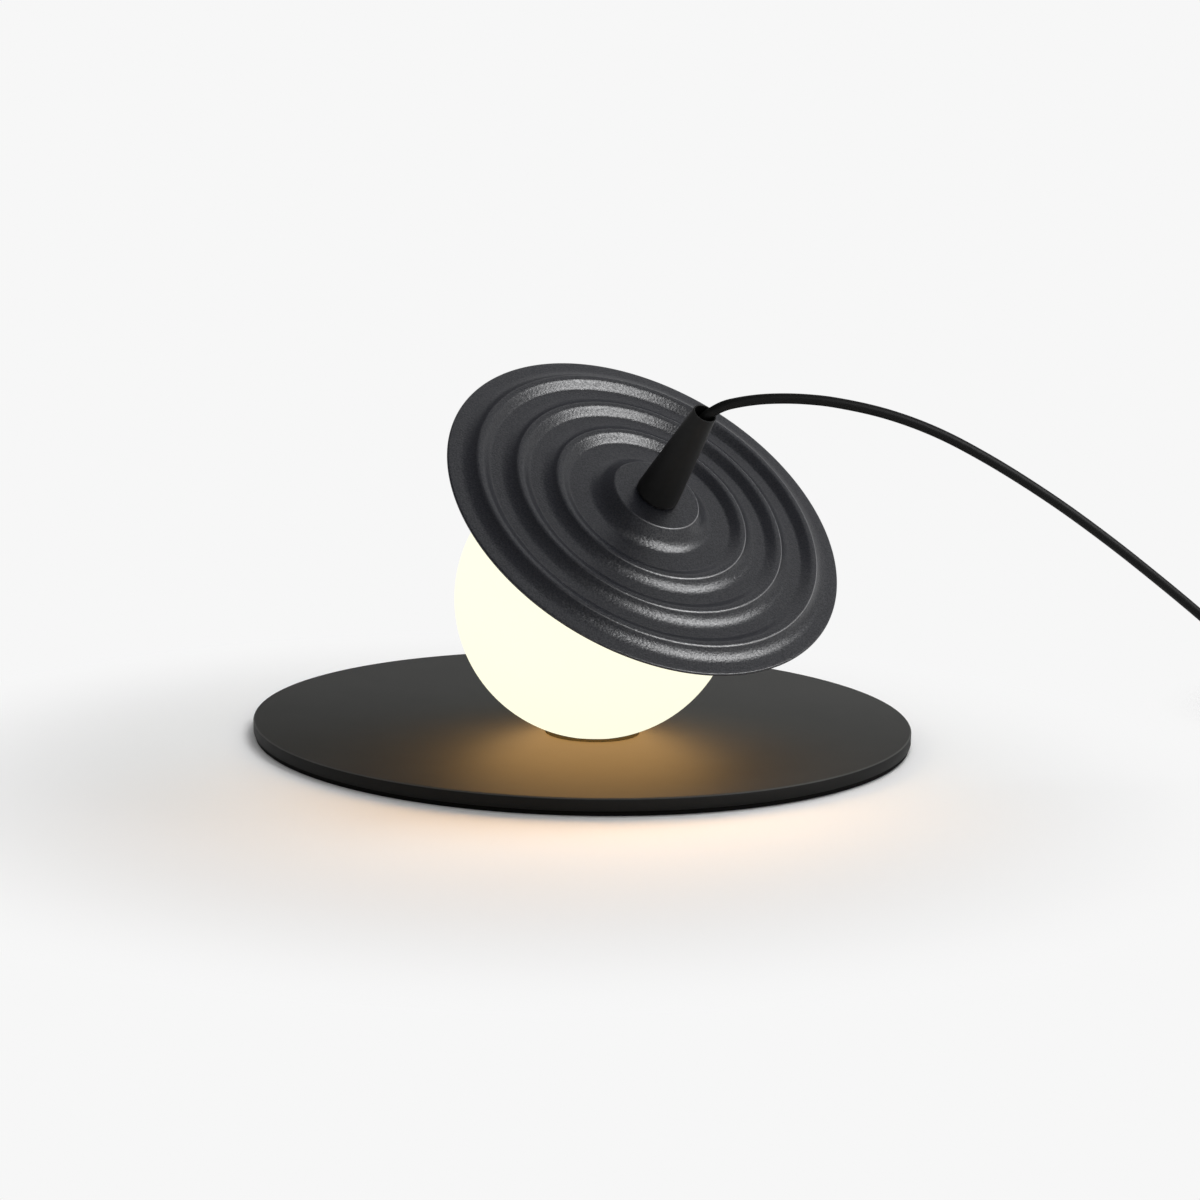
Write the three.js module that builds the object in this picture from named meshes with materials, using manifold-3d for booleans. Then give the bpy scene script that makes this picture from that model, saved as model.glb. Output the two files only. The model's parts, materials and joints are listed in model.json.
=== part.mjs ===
// Table lamp: an opal globe under a rippled disc shade, leaning on a round plate, with cord, switch and plug.
// Millimetres and degrees, +Z up, origin at the middle of the plate's resting face.
import * as THREE from "three";
import { mergeVertices } from "three/addons/utils/BufferGeometryUtils.js";
import Module from "manifold-3d";

const wasm = await Module();
wasm.setup();

// Driving dimensions
const clearance = 0.3;
const cutOverrun = 1;
const weldDistance = 1e-4;
const sheetWall = 1.2;

const plateDiameter = 350;
const plateThickness = 6.4;
const plateChamfer = 0.7;
const padThickness = 2.3;
const padInset = 0.8;

const seatOffset = 37.9;
const seatRingInnerRadius = 19.6;
const seatRingWidth = 4.6;

const globeDiameter = 145;
const globeWall = 2.6;
const globeSink = 2.4;
const neckRadius = 41;
const neckLength = 4.8;
const lipProjection = 2.2;
const lipHeight = 1.8;

const leanAngle = 39.7;
const leanHeading = -61.8;

const shadeDiameter = 212;
const shadeWall = 1.5;
const shadeDishDepth = 6;
const platformRadius = 22.9;
const platformHeight = 11.8;
const platformEdge = 0.6;
const platformFallWidth = 10.9;
const ridgeCount = 3;
const ridgePitch = 20.5;
const outerRidgeInset = 14.7;
const ridgeHeight = 3.6;
const ridgeRiseWidth = 7.3;
const ridgeFallWidth = 8.7;

const collarRadius = 12;
const collarLength = 8.3;
const nippleRadius = 5;
const nippleBore = 3.4;

const stemLength = 56.5;
const stemBaseRadius = 11.1;
const stemTipRadius = 6;
const stemMouthBore = 5.3;
const stemFootRadius = 0.9;
const stemThreadDepth = 9;
const bushLength = 9.6;
const mouthDepth = 14.8;

const cordDiameter = 5.1;
const cordSides = 8;

const switchLength = 62;
const switchWidth = 27;
const switchHeight = 15.6;
const switchWall = 1.8;
const switchCentre = [482, -19];
const cordHeightInSwitch = 7.5;

const coilTurnsPerLayer = 3;
const coilPitch = 5.7;
const coilOuterTurnRadius = 39;
const coilFloorHeight = 3.9;
const coilCentreY = 61;

const plugLength = 34;
const plugWidth = 35;
const plugThickness = 14;
const plugBackY = 4;
const pinSpacing = 18.6;
const pinDiameter = 4;
const pinLength = 19;

// Sides of round pieces
const plateSides = 96;
const shadeSides = 56;
const globeSides = 36;
const midSides = 24;
const smallSides = 16;
const coreSides = 6;
const coilSides = 6;
const coilStepsPerTurn = 24;

// Derived sizes of the stack, measured along the lamp's own axis from the globe's centre
const cordRadius = cordDiameter / 2;
const globeRadius = globeDiameter / 2;
const plateTop = padThickness + plateThickness;
const heightOnSphere = (radius, at) => Math.sqrt(radius ** 2 - at ** 2);
const neckBase = heightOnSphere(globeRadius, neckRadius);
const neckTop = neckBase + neckLength;
const lipRadius = neckRadius + lipProjection;
const gasketThickness = 1.2;
const cupInnerTop = neckTop + gasketThickness + 2 * clearance;
const cupTop = cupInnerTop + sheetWall;
const collarBottom = cupTop + clearance;
const collarTop = collarBottom + collarLength;
const platformTop = collarTop + clearance + shadeWall;
const shadeRim = platformTop - platformHeight;
const stemBottom = platformTop + clearance;
const stemTop = stemBottom + stemLength;
const bushTop = stemTop - mouthDepth;
const bushBottom = bushTop - bushLength;

// Finishes
const finishes = {
  powderBlack: { color: 0x2e2f31, roughness: 0.5, metalness: 0.3 },
  plateBlack: { color: 0x343432, roughness: 0.6, metalness: 0.3 },
  stemBlack: { color: 0x161616, roughness: 0.6, metalness: 0.1 },
  rubberBlack: { color: 0x141414, roughness: 0.8, metalness: 0 },
  cordBlack: { color: 0x171717, roughness: 0.5, metalness: 0 },
  plasticBlack: { color: 0x1a1a1a, roughness: 0.45, metalness: 0 },
  plasticWhite: { color: 0xeeeeea, roughness: 0.4, metalness: 0 },
  opalGlass: { color: 0xfff6dc, roughness: 0.2, metalness: 0, emissive: 0xfff0c8 },
  steel: { color: 0xb9bbbd, roughness: 0.3, metalness: 1 },
  brass: { color: 0xc9a45a, roughness: 0.35, metalness: 1 },
  copper: { color: 0xb8734a, roughness: 0.4, metalness: 1 },
  board: { color: 0xf2f2ee, roughness: 0.5, metalness: 0 },
};

// Signed volume of a triangle list
function volumeOf(position, index) {
  const [a, b, c] = [new THREE.Vector3(), new THREE.Vector3(), new THREE.Vector3()];
  let sum = 0;
  for (let i = 0; i < index.length; i += 3) {
    a.fromBufferAttribute(position, index[i]);
    b.fromBufferAttribute(position, index[i + 1]);
    c.fromBufferAttribute(position, index[i + 2]);
    sum += a.dot(b.cross(c));
  }
  return sum;
}

// Closed solid: corners merged, empty triangles dropped, faces outward
function solid(geometry) {
  const bare = geometry.index ? geometry.toNonIndexed() : geometry.clone();
  bare.deleteAttribute("normal");
  bare.deleteAttribute("uv");
  const merged = mergeVertices(bare, weldDistance);
  const kept = [];
  for (let i = 0; i < merged.index.count; i += 3) {
    const [a, b, c] = [0, 1, 2].map((k) => merged.index.getX(i + k));
    if (a !== b && b !== c && c !== a) kept.push(a, b, c);
  }
  if (volumeOf(merged.attributes.position, kept) < 0) kept.reverse();
  merged.setIndex(kept);
  return merged;
}

// Solid of revolution about Z from radius and height pairs
function lathe(outline, sides = midSides) {
  const points = outline.map(([r, h]) => new THREE.Vector2(r, h));
  const meetsAxis = outline[0][0] === 0 && outline.at(-1)[0] === 0;
  if (!meetsAxis) points.push(points[0].clone());
  return solid(new THREE.LatheGeometry(points, sides).rotateX(Math.PI / 2));
}

function disc(radius, bottom, top, sides) {
  return lathe([[0, bottom], [radius, bottom], [radius, top], [0, top]], sides);
}

function ring(inner, outer, bottom, top, sides) {
  return lathe([[inner, bottom], [outer, bottom], [outer, top], [inner, top]], sides);
}

// Radius and height pairs along an arc about the axis' origin, angles from the level plane
function arcOnSphere(radius, from, to, steps) {
  const points = [];
  for (let i = 0; i <= steps; i++) {
    const angle = from + ((to - from) * i) / steps;
    points.push([radius * Math.cos(angle), radius * Math.sin(angle)]);
  }
  return points;
}

// Closed solid through stacked rings of equal numbers of points
function loft(rings) {
  const count = rings[0].length;
  const points = rings.flat();
  const index = [];
  for (let k = 0; k < rings.length - 1; k++) {
    for (let i = 0; i < count; i++) {
      const [a, b] = [k * count + i, k * count + ((i + 1) % count)];
      index.push(a, b, a + count, b, b + count, a + count);
    }
  }
  for (const [start, last] of [[0, false], [(rings.length - 1) * count, true]]) {
    const middle = points.length;
    const ringPoints = points.slice(start, start + count);
    points.push([0, 1, 2].map((k) => ringPoints.reduce((sum, p) => sum + p[k], 0) / count));
    for (let i = 0; i < count; i++) {
      const [a, b] = [start + i, start + ((i + 1) % count)];
      index.push(...(last ? [a, b, middle] : [b, a, middle]));
    }
  }
  const geometry = new THREE.BufferGeometry();
  geometry.setAttribute("position", new THREE.Float32BufferAttribute(points.flat(), 3));
  geometry.setIndex(index);
  return solid(geometry);
}

// Ring of points on a rounded rectangle, given as half sizes and a corner radius, at one height
function roundedRing(halfX, halfY, corner, height, steps = 4) {
  const points = [];
  const corners = [[1, 1, 0], [-1, 1, 1], [-1, -1, 2], [1, -1, 3]];
  for (const [sx, sy, quarter] of corners) {
    for (let i = 0; i <= steps; i++) {
      const angle = (Math.PI / 2) * (quarter + i / steps);
      const x = sx * (halfX - corner) + corner * Math.cos(angle);
      const y = sy * (halfY - corner) + corner * Math.sin(angle);
      points.push([x, y, height]);
    }
  }
  return points;
}

// Tube of a round cord through a list of points
function tube(points, diameter, steps, sides = cordSides) {
  const curve = new THREE.CatmullRomCurve3(points.map((p) => new THREE.Vector3(...p)));
  const section = new THREE.Shape();
  for (let i = 0; i < sides; i++) {
    const angle = (2 * Math.PI * i) / sides;
    const [x, y] = [(Math.cos(angle) * diameter) / 2, (Math.sin(angle) * diameter) / 2];
    if (i === 0) section.moveTo(x, y);
    else section.lineTo(x, y);
  }
  section.closePath();
  return solid(new THREE.ExtrudeGeometry(section, { steps, extrudePath: curve }));
}

function toManifold(geometry) {
  const vertProperties = new Float32Array(geometry.attributes.position.array);
  const triVerts = new Uint32Array(geometry.index.array);
  return new wasm.Manifold(new wasm.Mesh({ numProp: 3, vertProperties, triVerts }));
}

function fromManifold(shape) {
  const mesh = shape.getMesh();
  const geometry = new THREE.BufferGeometry();
  geometry.setAttribute("position", new THREE.BufferAttribute(mesh.vertProperties, 3));
  geometry.setIndex(new THREE.BufferAttribute(mesh.triVerts, 1));
  return geometry;
}

function cut(geometry, ...tools) {
  return fromManifold(tools.reduce((left, tool) => left.subtract(toManifold(tool)), toManifold(geometry)));
}

function join(geometry, ...others) {
  return fromManifold(others.reduce((sum, other) => sum.add(toManifold(other)), toManifold(geometry)));
}

function box(sizeX, sizeY, sizeZ, x, y, z) {
  return solid(new THREE.BoxGeometry(sizeX, sizeY, sizeZ).translate(x, y, z));
}

// Cylinder along X or Y through a point
function bar(radius, length, along, x, y, z, sides = smallSides) {
  const geometry = new THREE.CylinderGeometry(radius, radius, length, sides);
  if (along === "x") geometry.rotateZ(Math.PI / 2);
  return solid(geometry.translate(x, y, z));
}

function add(group, name, geometry, finish) {
  geometry.computeVertexNormals();
  const mesh = new THREE.Mesh(geometry, new THREE.MeshStandardMaterial(finishes[finish]));
  mesh.name = name;
  group.add(mesh);
  return mesh;
}

const lamp = new THREE.Group();
const seat = new THREE.Group();
seat.position.set(0, -seatOffset, plateTop);
seat.rotation.z = THREE.MathUtils.degToRad(leanHeading);
const head = new THREE.Group();
head.position.z = globeRadius - globeSink;
head.rotation.y = THREE.MathUtils.degToRad(leanAngle);
seat.add(head);
lamp.add(seat);

// Base plate with the round hole for the seat ring, and the pad under it
function buildBase() {
  const radius = plateDiameter / 2;
  const plate = lathe([
    [0, padThickness],
    [radius - plateChamfer / 2, padThickness],
    [radius, padThickness + plateChamfer / 2],
    [radius, plateTop - plateChamfer],
    [radius - plateChamfer, plateTop],
    [0, plateTop],
  ], plateSides);
  const holeRadius = seatRingInnerRadius + seatRingWidth + clearance;
  const hole = disc(holeRadius, padThickness - cutOverrun, plateTop + cutOverrun, globeSides);
  add(lamp, "base_plate", cut(plate, hole.translate(0, -seatOffset, 0)), "plateBlack");
  add(lamp, "foot_pad", disc(radius - padInset, 0, padThickness, plateSides), "rubberBlack");
}

// Soft ring in the plate's hole, standing on the pad, its upper face following the globe
function buildSeatRing() {
  const inner = seatRingInnerRadius;
  const outer = inner + seatRingWidth;
  const steps = 2;
  const outline = [];
  for (let i = 0; i <= steps; i++) {
    const r = inner + (seatRingWidth * i) / steps;
    const globeHeight = globeRadius - globeSink - heightOnSphere(globeRadius, r);
    outline.push([r, globeHeight - clearance]);
  }
  const bottom = clearance - plateThickness;
  outline.push([outer, bottom], [inner, bottom]);
  add(seat, "seat_ring", lathe(outline, globeSides), "rubberBlack");
}

// Opal globe with a short neck and a lip
function buildGlobe() {
  const inner = globeRadius - globeWall;
  const neckInner = neckRadius - globeWall;
  const outerSteps = 16;
  const innerSteps = 8;
  const outerEnd = Math.acos(neckRadius / globeRadius);
  const innerEnd = Math.acos(neckInner / inner);
  const outside = arcOnSphere(globeRadius, -Math.PI / 2, outerEnd, outerSteps);
  const inside = arcOnSphere(inner, innerEnd, -Math.PI / 2, innerSteps);
  outside[0][0] = 0;
  inside.at(-1)[0] = 0;
  const lipBottom = neckTop - lipHeight;
  const lip = [[neckRadius, lipBottom], [lipRadius, lipBottom], [lipRadius, neckTop], [neckInner, neckTop]];
  add(head, "globe", lathe([...outside, ...lip, ...inside], globeSides), "opalGlass");
  const gasketBottom = neckTop + clearance;
  const gasket = ring(neckInner, lipRadius, gasketBottom, gasketBottom + gasketThickness, globeSides);
  add(head, "globe_gasket", gasket, "rubberBlack");
}

// Cup that holds the globe's lip with three screws
function buildFitter() {
  const screwRadius = 1.25;
  const screwTip = neckRadius + clearance;
  const screwHeight = neckTop - lipHeight - clearance - screwRadius;
  const skirtInner = lipRadius + 3 * clearance;
  const skirtOuter = skirtInner + sheetWall;
  const skirtBottom = screwHeight - screwRadius - sheetWall;
  const bore = nippleRadius + clearance;
  const cup = lathe([
    [bore, cupTop],
    [skirtOuter - sheetWall, cupTop],
    [skirtOuter, cupTop - sheetWall],
    [skirtOuter, skirtBottom],
    [skirtInner, skirtBottom],
    [skirtInner, cupInnerTop],
    [bore, cupInnerTop],
  ], globeSides);
  const headRadius = 3;
  const headLength = 3.2;
  const headStart = skirtOuter + clearance;
  const screwCount = 3;
  const holeLength = skirtOuter - skirtInner + 2 * cutOverrun;
  const holeMiddle = (skirtInner + skirtOuter) / 2;
  const turned = (geometry, i) => geometry.rotateZ((2 * Math.PI * i) / screwCount);
  const holes = [];
  for (let i = 0; i < screwCount; i++) {
    const hole = bar(screwRadius + clearance, holeLength, "x", holeMiddle, 0, screwHeight);
    holes.push(turned(hole, i));
    const shaftLength = headStart - screwTip + cutOverrun;
    const shaft = bar(screwRadius, shaftLength, "x", screwTip + shaftLength / 2, 0, screwHeight);
    const knob = bar(headRadius, headLength, "x", headStart + headLength / 2, 0, screwHeight);
    add(head, `fitter_screw_${i + 1}`, join(shaft, knob).rotateZ((2 * Math.PI * i) / screwCount), "steel");
  }
  add(head, "fitter_cup", cut(cup, ...holes), "stemBlack");
}

// Rise to each crest and falls behind it and behind the platform's edge, as shares across and up
const upperCourse = {
  platformShares: [[0.19, 0.72], [0.41, 0.4], [0.64, 0.17], [0.95, 0]],
  riseShares: [[0.08, 0], [0.7, 0.9], [1, 1]],
  fallShares: [[0.1, 0.95], [0.47, 0.3], [0.9, 0]],
};
const lowerCourse = {
  platformShares: [[0.36, 0.44], [0.85, 0]],
  riseShares: [[0.08, 0], [0.8, 0.97]],
  fallShares: [[0.1, 0.93], [0.75, 0]],
};

// One face of the shade from the bore to the last fall, as radius and height over the rim
function shadeFace({ platformShares, riseShares, fallShares }) {
  const radius = shadeDiameter / 2;
  const dish = (r) => shadeDishDepth * (1 - r / radius);
  const surface = [
    [nippleRadius + clearance, platformHeight],
    [platformRadius - platformEdge, platformHeight],
    [platformRadius, platformHeight - platformEdge / 2],
  ];
  const platformFoot = platformRadius + platformFallWidth;
  const platformDrop = platformHeight - platformEdge / 2 - dish(platformFoot);
  for (const [across, up] of platformShares) {
    surface.push([platformRadius + across * platformFallWidth, dish(platformFoot) + up * platformDrop]);
  }
  for (let i = ridgeCount - 1; i >= 0; i--) {
    const crest = radius - outerRidgeInset - i * ridgePitch;
    const rise = riseShares.map(([across, up]) => [crest + (across - 1) * ridgeRiseWidth, up]);
    const fall = fallShares.map(([across, up]) => [crest + across * ridgeFallWidth, up]);
    for (const [r, up] of [...rise, ...fall]) surface.push([r, dish(r) + up * ridgeHeight]);
  }
  return surface;
}

// Spun disc shade, the collar under it, the threaded nipple, washer and nut
function buildShade() {
  const radius = shadeDiameter / 2;
  const top = shadeFace(upperCourse);
  const rim = [
    [radius - shadeWall, 0],
    [radius - shadeWall / 4, -shadeWall / 5],
    [radius, -shadeWall / 2],
    [radius - shadeWall / 4, -shadeWall],
  ];
  const under = shadeFace(lowerCourse).map(([r, h]) => [r, h - shadeWall]).reverse();
  const outline = [...top, ...rim, ...under].map(([r, h]) => [r, h + shadeRim]);
  add(head, "shade_disc", lathe(outline, shadeSides), "powderBlack");

  const bore = nippleRadius + clearance;
  add(head, "shade_collar", ring(bore, collarRadius, collarBottom, collarTop), "steel");

  const washerThickness = 0.8;
  const washerTop = cupInnerTop - clearance;
  const washerBottom = washerTop - washerThickness;
  const nutTop = washerBottom - clearance;
  const nutHeight = 3;
  const nutRadius = 8.1;
  const hexSides = 6;
  const washer = ring(bore, nutRadius + sheetWall, washerBottom, washerTop, smallSides);
  add(head, "lock_washer", washer, "steel");
  const nut = cut(
    disc(nutRadius, nutTop - nutHeight, nutTop, hexSides),
    disc(bore, nutTop - nutHeight - cutOverrun, nutTop + cutOverrun, smallSides),
  );
  add(head, "locknut", nut, "steel");
  const holderTop = nutTop - nutHeight - clearance;
  const threadInHolder = 5;
  const nippleTop = stemBottom + stemThreadDepth - clearance;
  const nippleBottom = holderTop - threadInHolder;
  add(head, "nipple", ring(nippleBore, nippleRadius, nippleBottom, nippleTop, smallSides), "brass");
  return holderTop;
}

// Tapered stem, the bush in it and the cord down to the lampholder
function buildStem(sheathEnd) {
  const socket = nippleRadius + clearance;
  const passage = nippleBore;
  const foot = stemFootRadius;
  const outline = [
    [socket, stemBottom],
    [stemBaseRadius - foot, stemBottom],
    [stemBaseRadius - foot / 4, stemBottom + foot / 2],
    [stemBaseRadius, stemBottom + 2 * foot],
    [stemTipRadius, stemTop],
    [stemMouthBore, stemTop],
    [stemMouthBore, bushBottom],
    [passage, bushBottom],
    [passage, stemBottom + stemThreadDepth],
    [socket, stemBottom + stemThreadDepth],
  ];
  add(head, "cone_stem", lathe(outline), "stemBlack");
  const bushOuter = stemMouthBore - clearance;
  const bushInner = cordRadius + clearance;
  const bush = ring(bushInner, bushOuter, bushBottom + clearance, bushTop, smallSides);
  add(head, "cord_bush", bush, "plasticBlack");
  add(head, "cord_inner", disc(cordRadius, sheathEnd, bushTop, smallSides), "cordBlack");
}

// Lampholder: dome cap, body, insulating insert, contacts, screws and the two cores
function buildHolder(holderTop) {
  const wall = 1.3;
  const bodyRadius = 13.8;
  const capHeight = 15;
  const collar = nippleRadius + clearance;
  const capBottom = holderTop - capHeight;
  const collarOuter = collar + 2 * wall;
  const domeShares = [[0.35, 0.34], [0.75, 0.46], [1, 0.68]];
  const widen = bodyRadius - collarOuter;
  const dome = domeShares.map(([out, down]) => [collarOuter + out * widen, holderTop - down * capHeight]);
  const neckDrop = holderTop - domeShares[0][1] * capHeight / 2;
  const cap = lathe([
    [collar, holderTop],
    [collarOuter, holderTop],
    [collarOuter, neckDrop],
    ...dome,
    [bodyRadius, capBottom],
    [bodyRadius - wall, capBottom],
    ...dome.toReversed().map(([r, h]) => [r - wall, h - wall]),
    [collar, neckDrop - 2 * wall],
  ], smallSides);
  add(head, "holder_cap", cap, "plasticWhite");

  const bodyTop = capBottom - clearance;
  const bodyLength = 24;
  const bodyBottom = bodyTop - bodyLength;
  const bodyInner = bodyRadius - wall;
  add(head, "holder_body", ring(bodyInner, bodyRadius, bodyBottom, bodyTop, smallSides), "plasticWhite");

  const insertRadius = bodyInner - clearance;
  const insertHeight = 5;
  const insertTop = bodyTop - wall;
  const insertBottom = insertTop - insertHeight;
  const coreRadius = 0.95;
  const coreOffset = 4.6;
  const holes = [-1, 1].map((side) =>
    disc(coreRadius + clearance, insertBottom - cutOverrun, insertTop + cutOverrun, cordSides)
      .translate(side * coreOffset, 0, 0));
  const screwRadius = 1.3;
  const screwOffset = 7;
  const screwLength = 3.4;
  const screwTop = insertTop - clearance;
  const screwHoles = [-1, 1].map((side) =>
    disc(screwRadius + clearance, screwTop - screwLength - clearance, insertTop + cutOverrun, cordSides)
      .translate(0, side * screwOffset, 0));
  const insert = disc(insertRadius, insertBottom, insertTop, midSides);
  add(head, "holder_insert", cut(insert, ...holes, ...screwHoles), "plasticWhite");
  [-1, 1].forEach((side, i) => {
    const screw = disc(screwRadius, screwTop - screwLength, screwTop, cordSides);
    add(head, `terminal_screw_${i + 1}`, screw.translate(0, side * screwOffset, 0), "brass");
  });

  const contactTop = insertBottom - clearance;
  const contactThickness = 0.6;
  const contactWidth = 4;
  const contactLength = 7;
  const sideContactX = (insertRadius + contactLength) / 2;
  const sideDrop = 6;
  const leaf = (length, x) =>
    box(length, contactWidth, contactThickness, x, 0, contactTop - contactThickness / 2);
  add(head, "holder_contact_centre", leaf(contactLength, 0), "brass");
  const sideLeafLength = insertRadius - contactLength / 2 - 4 * clearance;
  const sideX = insertRadius - clearance - contactThickness / 2;
  const upright = box(contactThickness, contactWidth, sideDrop, sideX, 0, contactTop - sideDrop / 2);
  const sideArm = leaf(sideLeafLength, insertRadius - clearance - sideLeafLength / 2);
  add(head, "holder_contact_side", join(sideArm, upright), "brass");

  // The sheath stops in the cap and its two cores run on to the insert
  const sheathEnd = neckDrop - 2 * wall;
  const coreStart = sheathEnd - clearance;
  const coreEnd = insertBottom + wall;
  const spread = coreStart - insertTop;
  const coreShares = [[0.28, 0], [0.28, 0.2], [0.7, 0.5], [1, 0.8], [1, 1]];
  [["core_live", -1], ["core_neutral", 1]].forEach(([name, side]) => {
    const points = coreShares.map(([out, down]) => [side * out * coreOffset, 0, coreStart - down * spread]);
    points.push([side * coreOffset, 0, coreEnd]);
    const coreSteps = 8;
    add(head, name, tube(points, 2 * coreRadius, coreSteps, coreSides), "copper");
  });
  return { sheathEnd, bulbTop: contactTop - contactThickness - clearance };
}

// Bulb: screw shell, insulator, tip, housing, board and opal diffuser
function buildBulb(bulbTop) {
  const shellRadius = 6.9;
  const shellLength = 20;
  const tipRadius = 2.4;
  const tipHeight = 1.2;
  const insulatorHeight = 2.4;
  const tipBottom = bulbTop - tipHeight;
  add(head, "bulb_tip", disc(tipRadius, tipBottom, bulbTop, smallSides), "brass");
  const insulatorTop = tipBottom - clearance;
  const insulatorBottom = insulatorTop - insulatorHeight;
  const insulator = lathe([
    [0, insulatorBottom],
    [shellRadius - sheetWall, insulatorBottom],
    [tipRadius + sheetWall, insulatorTop],
    [0, insulatorTop],
  ], smallSides);
  add(head, "bulb_insulator", insulator, "plasticBlack");
  const shellTop = insulatorBottom - clearance;
  const shellBottom = shellTop - shellLength;
  const shellInner = shellRadius - sheetWall / 2;
  add(head, "bulb_shell", ring(shellInner, shellRadius, shellBottom, shellTop, smallSides), "steel");
  const housingTop = shellBottom - clearance;
  const housingLength = 20;
  const diffuserRadius = 22.5;
  const rimRadius = 19;
  const housingBottom = housingTop - housingLength;
  const housing = lathe([
    [shellRadius, housingTop],
    [rimRadius, housingBottom],
    [rimRadius - sheetWall, housingBottom],
    [shellInner, housingTop - sheetWall],
    [shellInner, housingTop],
  ], smallSides);
  add(head, "bulb_housing", housing, "plasticWhite");
  const boardThickness = 1.2;
  const boardTop = housingBottom + boardThickness + sheetWall;
  const boardRadius = rimRadius - 3 * sheetWall;
  add(head, "led_board", disc(boardRadius, boardTop - boardThickness, boardTop, midSides), "board");
  const diffuserTop = housingBottom - clearance;
  const centre = diffuserTop - heightOnSphere(diffuserRadius, rimRadius);
  const steps = 6;
  const start = Math.acos(rimRadius / diffuserRadius);
  const inner = diffuserRadius - sheetWall;
  const innerStart = Math.asin((diffuserTop - centre) / inner);
  const outside = arcOnSphere(diffuserRadius, start, -Math.PI / 2, steps);
  const inside = arcOnSphere(inner, -Math.PI / 2, innerStart, steps);
  outside.at(-1)[0] = 0;
  inside[0][0] = 0;
  const outline = [...inside, ...outside].map(([r, h]) => [r, h + centre]);
  add(head, "bulb_diffuser", lathe(outline, smallSides), "opalGlass");
}

// Cord from the stem's mouth through the air and along the floor to the switch
const leadPoints = [
  [36.3, -105.7, 171.4], [37.8, -108.4, 175.2], [40.4, -111.6, 179.7], [44.5, -114.0, 183.4],
  [49.6, -115.6, 186.3], [55.4, -116.1, 187.9], [66.5, -116.1, 189.6], [79.1, -116.1, 190.2],
  [91.5, -116.1, 189.8], [103.8, -116.1, 188.5], [128.8, -116.1, 183.4], [154.1, -116.1, 174.8],
  [181.2, -116.1, 161.6], [215.0, -116.1, 141.7], [244.3, -116.1, 122.0], [270.0, -116.1, 103.2],
  [295.0, -116.1, 84.0], [322.0, -116.1, 62.0], [350.0, -116.1, 40.2], [377.0, -116.1, 21.8],
  [401.0, -116.1, 9.8], [420.0, -116.1, 4.2], [438.0, -116.1, 2.7], [456.1, -112.9, 2.7],
  [469.7, -103.8, 2.7], [478.8, -90.2, 2.9], [481.9, -76.4, 5.4], [482.0, -68.5, 7.3],
  [482.0, -63.0, 7.5], [482.0, -57.0, 7.5], [482.0, -51.0, 7.5], [482.0, -45.5, 7.5],
];
const runPoints = [
  [482, 7.5, 7.5], [482, 14, 7.5], [482, 20, 7.5], [482, 26, 7.5], [482, 33, 7.1],
  [482, 40, 5.6], [482, 46, 4.4], [482, 51, 3.9], [482, 55.6, 3.9],
];
const tailPoints = [
  [404, 55.6, 9.6], [404, 51, 9.6], [404, 45, 9.2], [404, 38, 8.0], [404, 31, 7.2],
  [404, 25, 7.05], [404, 18, 7.05], [404, 11, 7.05], [404, 5, 7.05], [404, -0.5, 7.05],
];

function buildCord() {
  const leadSteps = 80;
  const shortSteps = 10;
  add(lamp, "cord_lead", tube(leadPoints, cordDiameter, leadSteps), "cordBlack");
  add(lamp, "cord_run", tube(runPoints, cordDiameter, shortSteps), "cordBlack");
  add(lamp, "cord_tail", tube(tailPoints, cordDiameter, shortSteps), "cordBlack");
}

// Centreline of the coil: in along the lower layer, up in half a turn, out along the upper layer
function coilLine() {
  const centre = [switchCentre[0] - coilOuterTurnRadius, coilCentreY];
  const climbTurns = 1 / 2;
  const turns = 2 * coilTurnsPerLayer + climbTurns;
  const points = [];
  for (let i = 0; i <= turns * coilStepsPerTurn; i++) {
    const turn = i / coilStepsPerTurn;
    const climb = Math.min(Math.max((turn - coilTurnsPerLayer) / climbTurns, 0), 1);
    const radius = coilOuterTurnRadius - coilPitch * Math.min(turn, turns - turn);
    const angle = 2 * Math.PI * turn;
    const rise = coilPitch * (climb * climb * (3 - 2 * climb));
    points.push(new THREE.Vector3(
      centre[0] + radius * Math.cos(angle),
      centre[1] + radius * Math.sin(angle),
      coilFloorHeight + rise,
    ));
  }
  const [first, last] = [points[0], points.at(-1)];
  points.unshift(new THREE.Vector3(first.x, first.y - cordDiameter, first.z));
  points.push(new THREE.Vector3(last.x, last.y - cordDiameter, last.z));
  return { points, centre };
}

// Tube of flat-sided rings along a line that mostly lies level
function coilTube(points, diameter, sides) {
  const up = new THREE.Vector3(0, 0, 1);
  const rings = points.map((point, i) => {
    const before = points[Math.max(i - 1, 0)];
    const after = points[Math.min(i + 1, points.length - 1)];
    const ahead = after.clone().sub(before).normalize();
    const side = ahead.clone().cross(up).normalize();
    const over = side.clone().cross(ahead);
    const ringPoints = [];
    for (let k = 0; k < sides; k++) {
      const angle = (2 * Math.PI * (k + 1 / 2)) / sides;
      const corner = point.clone()
        .addScaledVector(side, (Math.cos(angle) * diameter) / 2)
        .addScaledVector(over, (Math.sin(angle) * diameter) / 2);
      ringPoints.push(corner.toArray());
    }
    return ringPoints;
  });
  return loft(rings);
}

// Least gap between turns, measured from line to line over half a turn apart
function leastGap(points, diameter, apart) {
  let least = Infinity;
  for (let i = 0; i < points.length; i++) {
    for (let j = i + apart; j < points.length; j++) {
      least = Math.min(least, points[i].distanceTo(points[j]) - diameter);
    }
  }
  return least;
}

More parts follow.
